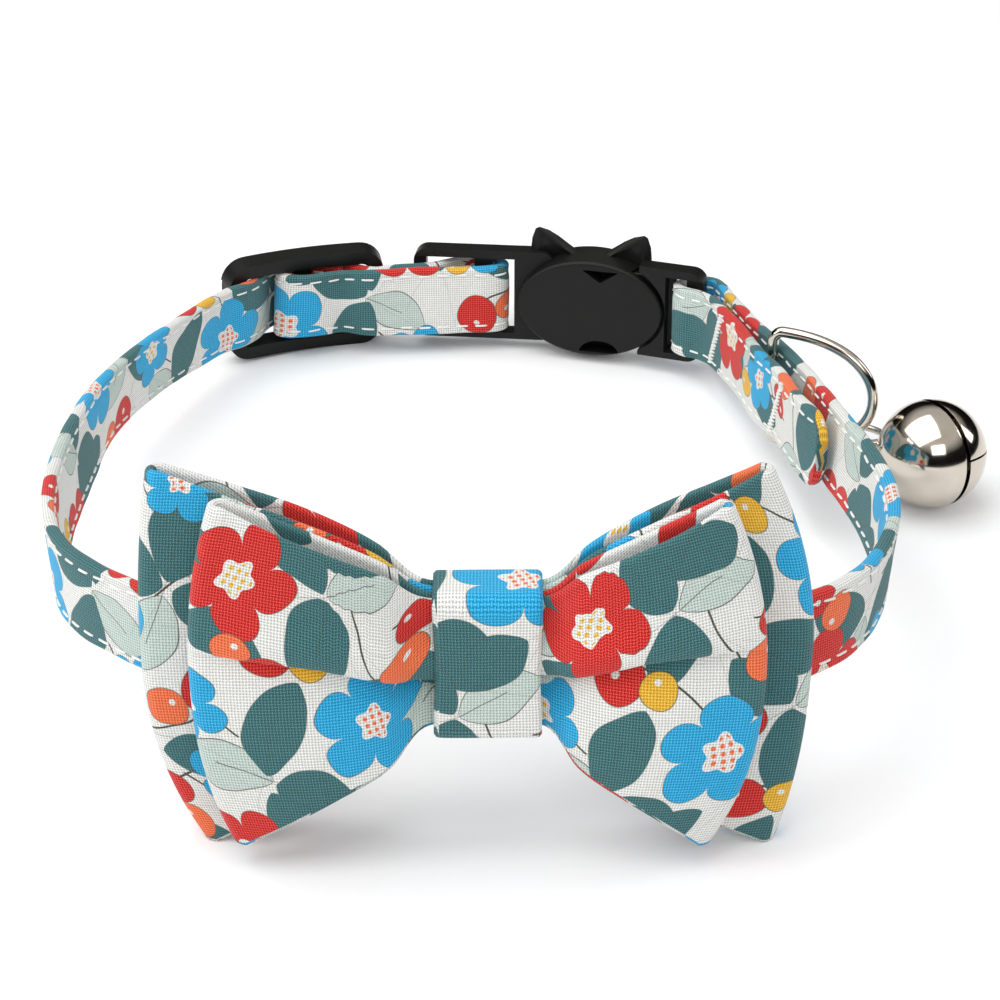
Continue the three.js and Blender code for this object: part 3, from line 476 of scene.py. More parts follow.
# x, y and lean: how much further out the upper edge lies than the lower one.
COURSE = np.array([
    (42.9, -6.8, 0.3), (41.7, -2.5, 0.0), (40.5, 2.5, -0.2), (39.6, 8.5, -0.3), (37.35, 15.8, -0.1),
    (36.1, 23.0, -0.4), (34.4, 29.5, -0.4), (32.9, 34.2, -0.3),
    *turned(PLUG_PLACE, PLUG_TURN, 0, [(1.6, -2.3), (0.1, -2.1), (-1.35, -1.3), (-1.95, 0.3), (-1.35, 1.9),
                                       (0.4, 3.0), (2.2, 3.2), (3.9, 1.6)]),
    (35.3, 36.2, 0.0), (36.8, 29.5, 0.2), (38.7, 22.5, 0.3), (41.1, 15.0, 0.3), (42.6, 8.5, 0.6),
    (43.9, 2.0, 0.8), (45.1, -5.0, 1.1), (46.5, -12.0, 1.4), (47.4, -19.0, 1.6), (47.6, -26.0, 1.4),
    (47.0, -32.3, 1.0), (45.5, -37.6, 0.6), (43.2, -42.8, 0.4), (39.9, -47.4, 0.2), (35.2, -51.1, 0.0),
    (28.0, -54.0, 0.0), (18.0, -55.3, 0.0), (3.0, -55.4, 0.0), (-13.0, -55.2, 0.0), (-24.0, -53.5, 0.0),
    (-31.0, -50.4, 0.0), (-36.5, -46.2, 0.0), (-41.1, -41.6, 0.1), (-44.2, -36.3, 0.4),
    (-46.0, -29.5, 0.8), (-47.0, -21.0, 1.0), (-47.2, -12.0, 1.0), (-46.9, -3.0, 0.6), (-46.3, 5.0, -0.4),
    (-45.0, 12.0, -1.3), (-42.9, 19.0, -1.8), (-40.3, 25.5, -2.0), (-37.5, 31.5, -1.9),
    *turned(SLIDER_PLACE, SLIDER_TURN, -1.6, [(-12.2, -4.2), (-9.6, -3.1), (-7.2, -1.2), (-4.8, 1.9),
                                              (-2.2, 3.75), (0, 4.1), (2.2, 3.75), (4.8, 1.9), (7.2, -1.2),
                                              (9.6, -3.1), (11.6, -3.3)]),
    *turned(SOCKET_PLACE, SOCKET_TURN, 0, [(-7.2, -1.95), (-4.8, -1.2), (-2.2, 1.1), (0.4, 1.95), (2.3, 1.95),
                                           (4.0, 1.2), (4.6, 0), (4.0, -1.2), (2.2, -2.0), (-0.8, -2.6),
                                           (-4.0, -3.3), (-7.4, -3.85)]),
    (-14.5, 44.7, -0.6),
    *turned(SLIDER_PLACE, SLIDER_TURN, -1.6, [(5.0, -3.0), (2.0, -3.0), (-0.6, -2.9), (-2.6, -2.1),
                                              (-3.5, -0.6), (-2.9, 1.0), (-1.3, 1.85), (0.6, 1.85), (2.2,
                                                                                                     1.2),
                                              (3.6, 0.2), (5.4, -1.0)]),
])


def curve_through(rows, per_span=40):
    """Points of a centripetal Catmull-Rom curve through the rows."""
    padded = np.vstack([2 * rows[0] - rows[1], rows, 2 * rows[-1] - rows[-2]])
    points = []
    for p0, p1, p2, p3 in zip(padded, padded[1:], padded[2:], padded[3:]):
        d0, d1, d2 = (math.sqrt(np.linalg.norm(b - a)) for a, b in ((p0, p1), (p1, p2), (p2, p3)))
        m1 = ((p1 - p0) / d0 - (p2 - p0) / (d0 + d1) + (p2 - p1) / d1) * d1
        m2 = ((p2 - p1) / d1 - (p3 - p1) / (d1 + d2) + (p3 - p2) / d2) * d1
        t = np.linspace(0, 1, per_span, endpoint=False)[:, None]
        points.append((2 * t**3 - 3 * t**2 + 1) * p1 + (t**3 - 2 * t**2 + t) * m1
                      + (3 * t**2 - 2 * t**3) * p2 + (t**3 - t**2) * m2)
    return np.vstack(points + [rows[-1:]])


dense = curve_through(COURSE)
travelled = np.concatenate([[0], np.cumsum(np.hypot(*np.diff(dense[:, :2], axis=0).T))])
STRAP_LENGTH = travelled[-1]
SMOOTHING = 0.4


def strap_at(distance):
    """Middle point, heading across and up direction of the strap at distances from the flap's end."""
    x, y, lean = (np.interp(distance, travelled, dense[:, k]) for k in range(3))
    ahead = [np.interp(np.clip(distance + SMOOTHING, 0, STRAP_LENGTH), travelled, dense[:, k])
             - np.interp(np.clip(distance - SMOOTHING, 0, STRAP_LENGTH), travelled,
                         dense[:, k]) for k in (0, 1)]
    length = np.hypot(*ahead)
    across = np.stack([ahead[1] / length, -ahead[0] / length, np.zeros_like(x)], axis=-1)
    away = np.stack([x, y], axis=-1) / np.hypot(x, y)[..., None]
    up = np.concatenate([away * lean[..., None], np.full_like(lean, STRAP_WIDTH)[..., None]], axis=-1)
    up /= np.linalg.norm(up, axis=-1)[..., None]
    return np.stack([x, y, np.full_like(x, STRAP_WIDTH / 2)], axis=-1), across, up


def strap_point(distance, along, out):
    """Point of the strap at a distance, along its width from the middle, and out from its middle layer."""
    middle, across, up = strap_at(distance)
    return middle + across * out[..., None] + up * along[..., None]


def strap_half_width(distance):
    """Half the strap's width, less at the flap's rounded end."""
    short = np.clip(FLAP_END_RADIUS - distance, 0, None)
    return STRAP_WIDTH / 2 - FLAP_END_RADIUS + np.sqrt(FLAP_END_RADIUS**2 - short**2)


STITCH_INSET = 1.2
STITCH_PITCH = 2.65
STITCH_LENGTH = 2.0
THREAD_WIDTH = 0.30


def strap_thickness(distance, along):
    """Half the strap's thickness: pulled in along the stitches, a little fuller between them."""
    from_row = np.abs(along) - (STRAP_WIDTH / 2 - STITCH_INSET)
    pull = 0.5 + 0.5 * np.cos(2 * math.pi * distance / STITCH_PITCH)
    dent = 0.17 * np.exp(-((from_row / 0.5) ** 2)) * (0.55 + 0.45 * pull)
    loft = 0.05 * ripple(3, distance * 0.8, along * 1.5)
    return STRAP_THICKNESS / 2 - 0.03 - dent + loft * np.exp(-((along / 4) ** 2))


strap_cotton = printed_cotton("printed_cotton_strap", (3.0, 8.0), 12)
stations = np.arange(0, STRAP_LENGTH, 0.55)
stations = np.append(stations, STRAP_LENGTH)
face = np.linspace(-1, 1, 21) * 0.93
edge_turns = np.radians([-60, -20, 20, 60])
section_along = np.concatenate([face, 0.93 + 0.07 * np.cos(edge_turns), face[::-1],
                                -0.93 - 0.07 * np.cos(edge_turns)])
section_side = np.concatenate([np.ones(21), -np.sin(edge_turns), -np.ones(21), np.sin(edge_turns)])
where = stations[:, None]
half_width = np.maximum(strap_half_width(where), 2.0) + 0.07 * ripple(5, where * 1.7)
along = half_width * section_along[None, :]
out = strap_thickness(where, along) * np.where(np.abs(section_side) == 1, section_side,
                                               section_side * 0.92)[None, :]
strap_points = strap_point(np.broadcast_to(where, along.shape), along, out)
girth = np.concatenate([[0], np.cumsum(np.hypot(np.diff(section_along * 5), np.diff(section_side * 0.75))),
                        [23.0]])
strap_map = np.stack(np.broadcast_arrays(stations[:, None], girth[None, :]), axis=-1)
strap = cloth_grid("strap_cloth", strap_points, strap_map, False, strap_cotton)
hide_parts("collar_strap")
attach(strap, "root")

# White polyester thread, sewn with a lockstitch: each stitch is a short soft cord that dips in at its ends.
thread_white, tree = new_material("polyester_sewing_thread")
# Its twist is 0.4 mm long, and shows as faint slanting ridges and shade.
strands = add(tree, "ShaderNodeTexWave", add(tree, "ShaderNodeTexCoord").outputs["Object"], Scale=2600.0,
              bands_direction="DIAGONAL")
tone = add(tree, "ShaderNodeMix", strands.outputs["Fac"], *TO_COLOURS, linear("#DEDDD8"),
           linear("#FBFAF7"), data_type="RGBA")
bump = add(tree, "ShaderNodeBump", Height=strands.outputs["Fac"], Strength=0.5, Distance=0.00004)
shader = add(tree, "ShaderNodeBsdfPrincipled", tone.outputs[2], Normal=bump, Roughness=0.55, Sheen_Weight=0.2)
add(tree, "ShaderNodeOutputMaterial", shader)


def stitches(name, starts, ends, raised=0.0):
    """Stitches between pairs of points (distance, along, side) on the strap, joined in one mesh."""
    steps, sides = 7, 6
    t = np.linspace(0, 1, steps)
    turn = np.linspace(0, 2 * math.pi, sides, endpoint=False)
    starts, ends = np.asarray(starts, float), np.asarray(ends, float)
    middle = starts[:, None, :2] + (ends - starts)[:, None, :2] * t[None, :, None]
    side = starts[:, None, None, 2]
    body = np.sqrt(np.clip(1 - (2 * t - 1) ** 6, 0.05, 1))
    direction = (ends - starts)[:, :2]
    direction /= np.linalg.norm(direction, axis=1)[:, None]
    lateral = np.stack([-direction[:, 1], direction[:, 0]], axis=-1)
    wide = THREAD_WIDTH / 2 * body[None, :, None] * np.cos(turn)[None, None, :]
    high = THREAD_WIDTH / 2 * body[None, :, None] * np.sin(turn)[None, None, :]
    distance = middle[:, :, None, 0] + lateral[:, None, None, 0] * wide
    along = middle[:, :, None, 1] + lateral[:, None, None, 1] * wide
    lift = strap_thickness(distance, along) + 0.10 + raised - 0.30 * np.abs(2 * t - 1)[None, :, None] ** 5
    points = strap_point(distance, along, side * (lift + high))
    count = len(starts)
    base = (np.arange(count) * steps * sides)[:, None, None]
    i, j = np.arange(steps - 1)[None, :, None] * sides, np.arange(sides)[None, None, :]
    k = (j + 1) % sides
    quads = np.stack([base + i + j, base + i + sides + j, base + i + sides + k, base + i + k], axis=-1)
    mesh = bpy.data.meshes.new(name)
    caps = []
    for start in range(0, count * steps * sides, steps * sides):
        caps.append(list(range(start, start + sides))[::-1])
        caps.append([start + (steps - 1) * sides + m for m in range(sides)])
    mesh.from_pydata(points.reshape(-1, 3).tolist(), [], quads.reshape(-1, 4).tolist() + caps)
    mesh.transform(LOOP)
    piece = bpy.data.objects.new(name, mesh)
    bpy.context.collection.objects.link(piece)
    mesh.materials.append(thread_white)
    face_outwards(piece)
    bpy.ops.object.shade_smooth()
    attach(piece, "root")
    return piece


draw = np.random.default_rng(11)
starts, ends = [], []
for row in (-1, 1):
    for side in (-1, 1):
        for at in np.arange(2.6, STRAP_LENGTH - 2, STITCH_PITCH):
            where = row * (STRAP_WIDTH / 2 - STITCH_INSET) + draw.normal(0, 0.05)
            slant = draw.normal(0.0, 0.05)
            starts.append((at - STITCH_LENGTH / 2, where - slant, side))
            ends.append((at + STITCH_LENGTH / 2, where + slant, side))
stitches("strap_topstitching", starts, ends)

# Bar tacks: close zigzags of the same thread that hold the layers together, two slanting across the flap and
# two straight across the return near the buckle's socket.
# distance of the tack's lower and upper end from the flap's end, the side it shows on, and its half width
SOCKET_FOLD = travelled[np.argmin(np.hypot(dense[:, 0] - 4.57, dense[:, 1] - 47.94))]
BAR_TACKS = [(17.4, 12.8, -1, 0.75), (41.0, 37.0, -1, 0.75), (SOCKET_FOLD + 6.5, SOCKET_FOLD + 6.2, 1, 0.32),
             (SOCKET_FOLD + 13.6, SOCKET_FOLD + 13.2, 1, 0.32)]
starts, ends = [], []
for low, high, side, half in BAR_TACKS:
    for k, along in enumerate(np.arange(-4.2, 4.2, 0.30)):
        at = low + (high - low) * (along + 4.2) / 8.4
        shift = half * (1 if k % 2 else -1)
        starts.append((at - shift + draw.normal(0, 0.06), along, side))
        ends.append((at + shift + draw.normal(0, 0.06), along + 0.30, side))
stitches("strap_bar_tacks", starts, ends, 0.06)

# ---------------------------------------------------------------- the slider
# One moulding of black acetal, 23 mm long: a frame that is bowed to the neck, with deep rails above and below
# and a bar across its middle that the strap's end is sewn round. The strap runs over the bar.

# Acetal out of a spark-eroded mould: near black, satin, with a fine even grain. The grain is 0.05 mm, drawn
# at 0.12 mm so that it shows.
black_acetal, tree = new_material("black_moulded_acetal")
at = add(tree, "ShaderNodeTexCoord").outputs["Object"]
grain = add(tree, "ShaderNodeTexNoise", at, Scale=8000.0, Detail=2.0).outputs["Fac"]
flow = add(tree, "ShaderNodeTexNoise", at, Scale=260.0, Detail=2.0).outputs["Fac"]
tone = add(tree, "ShaderNodeMix", flow, *TO_COLOURS, linear("#0F0F0E"), linear("#171716"), data_type="RGBA")
gloss = add(tree, "ShaderNodeMapRange", flow, To_Min=0.36, To_Max=0.50)
bump = add(tree, "ShaderNodeBump", Height=grain, Strength=0.35, Distance=0.00002)
shader = add(tree, "ShaderNodeBsdfPrincipled", tone.outputs[2], Roughness=gloss, Normal=bump, IOR=1.48,
             Specular_IOR_Level=0.25)
add(tree, "ShaderNodeOutputMaterial", shader)


def combine(piece, other, operation):
    """Joins one solid with another or cuts it by that one, which is used up."""
    select_only(piece)
    change = piece.modifiers.new("combined", "BOOLEAN")
    change.operation, change.object, change.solver = operation, other, "EXACT"
    bpy.ops.object.modifier_apply(modifier=change.name)
    bpy.data.objects.remove(other)


def round_edges(piece, width, segments):
    """Rounds every edge sharper than 40 degrees."""
    select_only(piece)
    rounding = piece.modifiers.new("rounded", "BEVEL")
    rounding.width, rounding.segments, rounding.angle_limit = width, segments, math.radians(40)
    bpy.ops.object.modifier_apply(modifier=rounding.name)


def box_between(low, high):
    """A block between two corners."""
    bpy.ops.mesh.primitive_cube_add(size=1, location=[(a + b) / 2 for a, b in zip(low, high)])
    bpy.context.active_object.scale = [b - a for a, b in zip(low, high)]
    bpy.ops.object.transform_apply(location=True, rotation=True, scale=True)
    return bpy.context.active_object


def rounded_plate(low_x, high_x, low_z, high_z, corner, depth):
    """A plate with rounded corners that stands in the x-z plane, its depth shared before and behind."""
    middle = ((low_x + high_x) / 2, 0, (low_z + high_z) / 2)
    bpy.ops.mesh.primitive_plane_add(size=1, location=middle, rotation=(math.pi / 2, 0, 0))
    plate = bpy.context.active_object
    plate.scale = (high_x - low_x, high_z - low_z, 1)
    bpy.ops.object.transform_apply(location=True, rotation=True, scale=True)
    bpy.ops.object.mode_set(mode="EDIT")
    bpy.ops.mesh.select_all(action="SELECT")
    bpy.ops.mesh.bevel(offset=corner, segments=8, affect="VERTICES")
    bpy.ops.mesh.select_all(action="SELECT")
    bpy.ops.mesh.extrude_region_move(TRANSFORM_OT_translate={"value": (0, depth, 0)})
    bpy.ops.mesh.select_all(action="SELECT")
    bpy.ops.transform.translate(value=(0, -depth / 2, 0))
    bpy.ops.mesh.normals_make_consistent(inside=False)
    bpy.ops.object.mode_set(mode="OBJECT")
    return plate


def set_in_place(piece, name, place, material, node):
    """Names a finished hard piece, puts its mesh in its place with its material, and hides the part it stands
    for.
    """
    piece.name = name
    piece.data.transform(LOOP @ place)
    piece.data.materials.clear()
    piece.data.materials.append(material)
    select_only(piece)
    bpy.ops.object.mode_set(mode="EDIT")
    bpy.ops.mesh.select_all(action="SELECT")
    bpy.ops.mesh.remove_doubles(threshold=0.0000004)
    bpy.ops.mesh.normals_make_consistent(inside=False)
    bpy.ops.object.mode_set(mode="OBJECT")
    bpy.ops.object.shade_smooth_by_angle(angle=math.radians(32))
    flatter = piece.modifiers.new("flatter", "WEIGHTED_NORMAL")
    flatter.keep_sharp = True
    bpy.ops.object.modifier_apply(modifier=flatter.name)
    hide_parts(node)
    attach(piece, "root")


slider = rounded_plate(low_x=-11.55, high_x=11.55, low_z=-7.45, high_z=7.45, corner=3.3, depth=3.0)
window = rounded_plate(low_x=-9.65, high_x=9.65, low_z=-5.55, high_z=5.55, corner=1.5, depth=6.0)
combine(slider, window, "DIFFERENCE")
# The end bars are shallower than the rails.
for side in (-1, 1):
    for face in (-1, 1):
        low = (9.2 if side > 0 else -13, 1.2 if face > 0 else -3, -4.6)
        high = (13 if side > 0 else -9.2, 3 if face > 0 else -1.2, 4.6)
        combine(slider, box_between(low, high), "DIFFERENCE")
select_only(slider)
bpy.ops.object.mode_set(mode="EDIT")
for cut in np.arange(-10.5, 10.6, 1.5):
    bpy.ops.mesh.select_all(action="SELECT")
    bpy.ops.mesh.bisect(plane_co=(cut, 0, 0), plane_no=(1, 0, 0))
bpy.ops.object.mode_set(mode="OBJECT")
round_edges(slider, 0.5, 3)
bowing = slider.modifiers.new("bowed", "SIMPLE_DEFORM")
bowing.deform_method, bowing.deform_axis, bowing.angle = "BEND", "Z", -23.1 / 62
bpy.ops.object.modifier_apply(modifier=bowing.name)
bar = box_between((-1.2, -0.8, -6.2), (1.2, 0.8, 6.2))
round_edges(bar, 0.45, 3)
combine(slider, bar, "UNION")
set_in_place(slider, "slider_moulding",
             Matrix.Translation((*SLIDER_PLACE, 5.0)) @ Matrix.Rotation(math.radians(SLIDER_TURN), 4, "Z")
             @ Matrix.Rotation(math.radians(SLIDER_LEAN), 4,
                               "X"), black_acetal, "strap_slider")

# ---------------------------------------------------------------- the buckle
# A breakaway buckle of the same acetal in two mouldings. The socket is an oval head with two cat's ears and
# a slotted plate for the strap. The plug is a slotted plate whose tongue lies in the head. Two marks are
# sunk in the head's inner face.

HEAD_PLACE = Matrix.Translation((17.0, 44.3, 0)) @ Matrix.Rotation(math.radians(-15), 4, "Z")


def oval_block(half_width, half_height, low, high):
    """An oval block in the head's frame, between two depths."""
    bpy.ops.mesh.primitive_cylinder_add(vertices=112, radius=1, depth=high - low,
                                        location=(0, (low + high) / 2, 5.3), rotation=(math.pi / 2, 0, 0))
    bpy.context.active_object.scale = (half_width, half_height, 1)
    bpy.ops.object.transform_apply(location=True, rotation=True, scale=True)
    return bpy.context.active_object


def strap_plate(low_x, high_x, slots, recess, place):
    """A slotted plate. Its bars are thinner than its rails, so that the strap lies between the rails."""
    plate = rounded_plate(low_x, high_x, low_z=-1.15, high_z=12.0, corner=2.0, depth=2.8)
    for low, high in slots:
        combine(plate, box_between((low, -5, -0.25), (high, 5, 10.85)), "DIFFERENCE")
    for low, high in ((-5, -0.8), (0.8, 5)):
        combine(plate, box_between((recess[0], low, -0.25), (recess[1], high, 10.85)), "DIFFERENCE")
    round_edges(plate, 0.28, 3)
    own = Matrix.Translation((*place[0], 0)) @ Matrix.Rotation(math.radians(place[1]), 4, "Z")
    plate.data.transform(HEAD_PLACE.inverted() @ own)
    return plate


head = oval_block(10.6, 7.4, -2.0, 3.0)
# Its side slopes in towards the inner face, most of all at the top.
bpy.ops.object.mode_set(mode="EDIT")
bpy.ops.mesh.select_all(action="DESELECT")
bpy.ops.object.mode_set(mode="OBJECT")
for corner in head.data.vertices:
    corner.select = corner.co.y < -1.9
bpy.ops.object.mode_set(mode="EDIT")
bpy.ops.transform.resize(value=(0.985, 1, 0.935), center_override=(0, -2.0, -1.4))
bpy.ops.object.mode_set(mode="OBJECT")
round_edges(head, 0.45, 5)
socket_plate = strap_plate(low_x=-8.2, high_x=12, slots=[(-6.4, 0.5), (2.9, 6.2)], recess=(-9, 6.2),
                           place=(SOCKET_PLACE, SOCKET_TURN))
combine(head, socket_plate, "UNION")
# Each ear is a flattened cone that leans outwards, bowed at its waist and hollowed on the inner side.
for side in (-1, 1):
    for outer in (True, False):
        size, deep, ahead = (1.0, 0.34, 1.4) if outer else (0.74, 0.38, 0.3)
        bpy.ops.mesh.primitive_cone_add(vertices=64, radius1=4.4 * size, radius2=0.34 * size,
                                        depth=6.4 * size,
                                        location=(0, 0, 3.2 * size))
        cone = bpy.context.active_object
        bpy.ops.object.transform_apply(location=True)
        bpy.ops.object.mode_set(mode="EDIT")
        for share, swell in ((0.35, 1.08), (0.65, 1.18), (0.85, 1.2)):
            bpy.ops.mesh.select_all(action="SELECT")
            bpy.ops.mesh.bisect(plane_co=(0, 0, 6.4 * size * share), plane_no=(0, 0, 1))
            bpy.ops.transform.resize(value=(swell, swell, 1), center_override=(0, 0, 0))
        bpy.ops.object.mode_set(mode="OBJECT")
        lean = side * math.radians(28)
        cone.data.transform(Matrix.Translation((-0.6 + side * 4.75, ahead, 9.45 if outer else 10.05))
                            @ Matrix.Rotation(lean, 4, "Y") @ Matrix.Diagonal((1, deep, 1, 1)))
        if outer:
            ear = cone
        else:
            combine(ear, cone, "DIFFERENCE")
    round_edges(ear, 0.16, 3)
    combine(head, ear, "UNION")
# The hollow that takes the tongue, and the two marks.
combine(head, box_between((4.9, -1.1, -0.2), (16, 1.1, 10.8)), "DIFFERENCE")
bpy.ops.mesh.primitive_cylinder_add(vertices=3, radius=1, depth=6, location=(1.5, -2.2, 10.1),
                                    rotation=(math.pi / 2, 0, math.pi))
mark = bpy.context.active_object
bpy.ops.object.transform_apply(location=False, rotation=True, scale=True)
mark.scale = (3.0, 1, -1.15)
bpy.ops.object.transform_apply(location=True, rotation=True, scale=True)
face_outwards(mark)
round_edges(mark, 0.18, 3)
combine(head, mark, "DIFFERENCE")
bpy.ops.mesh.primitive_cylinder_add(vertices=48, radius=1, depth=6, location=(1.5, -2.2, -1.7),
                                    rotation=(math.pi / 2, 0, 0))
mark = bpy.context.active_object
mark.scale = (2.9, 2.0, 1)
bpy.ops.object.transform_apply(location=True, rotation=True, scale=True)
bpy.ops.object.mode_set(mode="EDIT")
bpy.ops.mesh.select_all(action="SELECT")
bpy.ops.mesh.bisect(plane_co=(0, 0, -1.45), plane_no=(0, 0, 1), clear_inner=True, use_fill=True)
bpy.ops.object.mode_set(mode="OBJECT")
combine(head, mark, "DIFFERENCE")
set_in_place(head, "buckle_socket_moulding", HEAD_PLACE, black_acetal, "buckle_socket")

plug = strap_plate(low_x=-12, high_x=1.9, slots=[(-3.4, -0.5)], recess=(-0.5, 4),
                   place=(PLUG_PLACE, PLUG_TURN))
combine(plug, oval_block(10.9, 7.7, -8, 8), "DIFFERENCE")
select_only(plug)
bpy.ops.object.mode_set(mode="EDIT")
bpy.ops.mesh.select_all(action="SELECT")
bpy.ops.mesh.bisect(plane_co=(7, 0, 0), plane_no=(1, 0, 0), clear_inner=True, use_fill=True)
bpy.ops.object.mode_set(mode="OBJECT")
tongue = box_between((5.2, -0.8, 0.1), (12.0, 0.8, 10.5))
round_edges(tongue, 0.25, 3)
combine(plug, tongue, "UNION")
set_in_place(plug, "buckle_plug_moulding", HEAD_PLACE, black_acetal, "buckle_plug")

# ---------------------------------------------------------------- the D-ring
# Steel wire 1.4 mm thick, bent to a D, butt-welded on its straight side and nickel plated. The straight side
# lies between the two layers of the strap, and the bow stands out to hold the bell.

# Bright nickel over polished steel: mirror-like, a little warm, with the faint haze of handling.
nickel, tree = new_material("polished_nickel_plate")
at = add(tree, "ShaderNodeTexCoord").outputs["Object"]
haze = add(tree, "ShaderNodeTexNoise", at, Scale=420.0, Detail=3.0).outputs["Fac"]
ripple_of_plate = add(tree, "ShaderNodeTexNoise", at, Scale=180.0, Detail=1.0).outputs["Fac"]
tone = add(tree, "ShaderNodeMix", haze, *TO_COLOURS, linear("#C6BCAE"), linear("#D8D0C5"), data_type="RGBA")
polish = add(tree, "ShaderNodeMapRange", haze, To_Min=0.07, To_Max=0.14)
bump = add(tree, "ShaderNodeBump", Height=ripple_of_plate, Strength=0.25, Distance=0.00006)
shader = add(tree, "ShaderNodeBsdfPrincipled", tone.outputs[2], Metallic=1.0, Roughness=polish, Normal=bump)
add(tree, "ShaderNodeOutputMaterial", shader)

RING_DEPTH, RING_HALF_HEIGHT, RING_BEND, RING_WIRE = 13.6, 7.5, 1.3, 1.4
bpy.ops.curve.primitive_bezier_circle_add(radius=1)
ring = bpy.context.active_object
bpy.ops.object.mode_set(mode="EDIT")
bpy.ops.curve.select_all(action="SELECT")
bpy.ops.curve.subdivide(number_cuts=1)
bpy.ops.object.mode_set(mode="OBJECT")
straight = RING_HALF_HEIGHT - RING_BEND
arm = 0.62 * (RING_DEPTH - RING_BEND)
turn = 0.55 * RING_BEND
# place, handle before and handle after of each bend, as reach from the straight side and height
BENDS = [
    ((0, -straight / 2), (0, -straight / 4), (0, -straight * 0.75)),
    ((0, -straight), (0, -straight * 0.8), (0, -straight - turn)),
    ((RING_BEND, -RING_HALF_HEIGHT), (RING_BEND - turn, -RING_HALF_HEIGHT),
     (RING_BEND + arm * 0.45, -RING_HALF_HEIGHT)),
    ((10.0, -5.7), (7.4, -7.1), (11.6, -4.7)),
    ((RING_DEPTH, 0), (RING_DEPTH, -2.9), (RING_DEPTH, 2.9)),
    ((10.0, 5.7), (11.6, 4.7), (7.4, 7.1)),
    ((RING_BEND, RING_HALF_HEIGHT), (RING_BEND + arm * 0.45, RING_HALF_HEIGHT),
     (RING_BEND - turn, RING_HALF_HEIGHT)),
    ((0, straight), (0, straight + turn), (0, straight * 0.5)),
]
for point, (place, before, after) in zip(ring.data.splines[0].bezier_points, BENDS):
    point.handle_left_type = point.handle_right_type = "FREE"
    point.co, point.handle_left, point.handle_right = [(reach, 0, height) for reach,
                                                       height in (place, before, after)]
ring.data.dimensions, ring.data.fill_mode = "3D", "FULL"
ring.data.resolution_u = 14
ring.data.bevel_depth = RING_WIRE / 2
ring.data.bevel_resolution = 7
select_only(ring)
bpy.ops.object.convert(target="MESH")
ring = bpy.context.active_object
set_in_place(ring, "d_ring_wire", Matrix.Translation((39.2, 15.5,
                                                      5.0)) @ Matrix.Rotation(math.radians(-25), 4, "Z"),
             nickel, "d_ring")

# ---------------------------------------------------------------- the bell
# A 14 mm jingle bell, spun from thin steel in two halves and nickel plated like the ring. A slit runs over
# its face and a shorter one meets it, both with rounded edges. A wire eyelet at its back holds the ring.

BELL_RADIUS, BELL_WALL = 6.9, 0.6
BELL_PLACE = Matrix.Translation((58.5, 4.6, 0.224)) @ Matrix.Rotation(math.radians(-35), 4, "Z")


def ball(radius):
    bpy.ops.mesh.primitive_uv_sphere_add(segments=96, ring_count=64, radius=radius,
                                         rotation=(0, math.pi / 2, 0))
    bpy.ops.object.transform_apply(rotation=True)
    return bpy.context.active_object


bell = ball(BELL_RADIUS)
combine(bell, ball(BELL_RADIUS - BELL_WALL), "DIFFERENCE")
slits = box_between((-0.12 * BELL_RADIUS, -0.33, -8), (8, 0.33, 8))
combine(slits, box_between((0.3 * BELL_RADIUS, 0, -0.14), (8, 8, 0.14)), "UNION")
slits.data.transform(Matrix.Rotation(math.radians(-23), 4, "Z") @ Matrix.Rotation(math.radians(-12), 4, "Y"))
combine(bell, slits, "DIFFERENCE")
round_edges(bell, 0.09, 3)
bpy.ops.mesh.primitive_torus_add(major_radius=2.4, minor_radius=0.45, major_segments=64, minor_segments=20)
eyelet = bpy.context.active_object
eyelet.scale = (1.38, 1, 1)
eyelet.location = (-BELL_RADIUS - 2.4 * 1.38 + 0.25, 0, 0)
bpy.ops.object.transform_apply(location=True, rotation=True, scale=True)
combine(bell, eyelet, "UNION")
set_in_place(bell, "bell_shell", BELL_PLACE, nickel, "bell")

# ---------------------------------------------------------------- the bow
# Two loops of the doubled print, one behind the other, pinched in the middle by a knot of the same cloth.
# Each loop's front layer folds in along its middle, and the loops stay open at the top and bottom.

BOW_PLACE = Matrix.Translation((2.8, -56.15, 8.8))
BOW_CLOTH = 0.95
# reach from the middle, top, bottom, how far the front and rear layers stand in front of the strap
BACK_LOBE = np.array([
    (0.0, 6.8, -6.8, 4.45, 3.2), (6.2, 6.9, -6.9, 4.45, 3.2), (11.0, 10.6, -11.0, 5.0, 2.5),
    (18.0, 14.2, -15.5, 5.4, 2.1), (25.5, 17.0, -19.3, 5.3, 2.3), (32.0, 19.4, -21.9, 4.9, 3.0),
])
FRONT_LOBE = np.array([
    (0.0, 6.8, -6.8, 6.95, 5.7), (6.2, 6.9, -6.9, 6.95, 5.7), (10.0, 10.2, -10.6, 8.9, 6.4),
    (15.5, 12.9, -13.6, 9.9, 6.7), (21.5, 15.4, -16.6, 10.0, 6.9), (27.0, 17.8, -19.2, 9.5, 7.6),
])
BARREL = 0.8
# Each side's length as a share of the table's, and how much its fold draws in at the top and the bottom.
BACK_SIDES = {-1: (1.01, 0.9, 4.3), 1: (0.942, 3.9, 1.9)}
FRONT_SIDES = {-1: (1.0, 1.9, 2.6), 1: (0.928, 3.0, 3.8)}


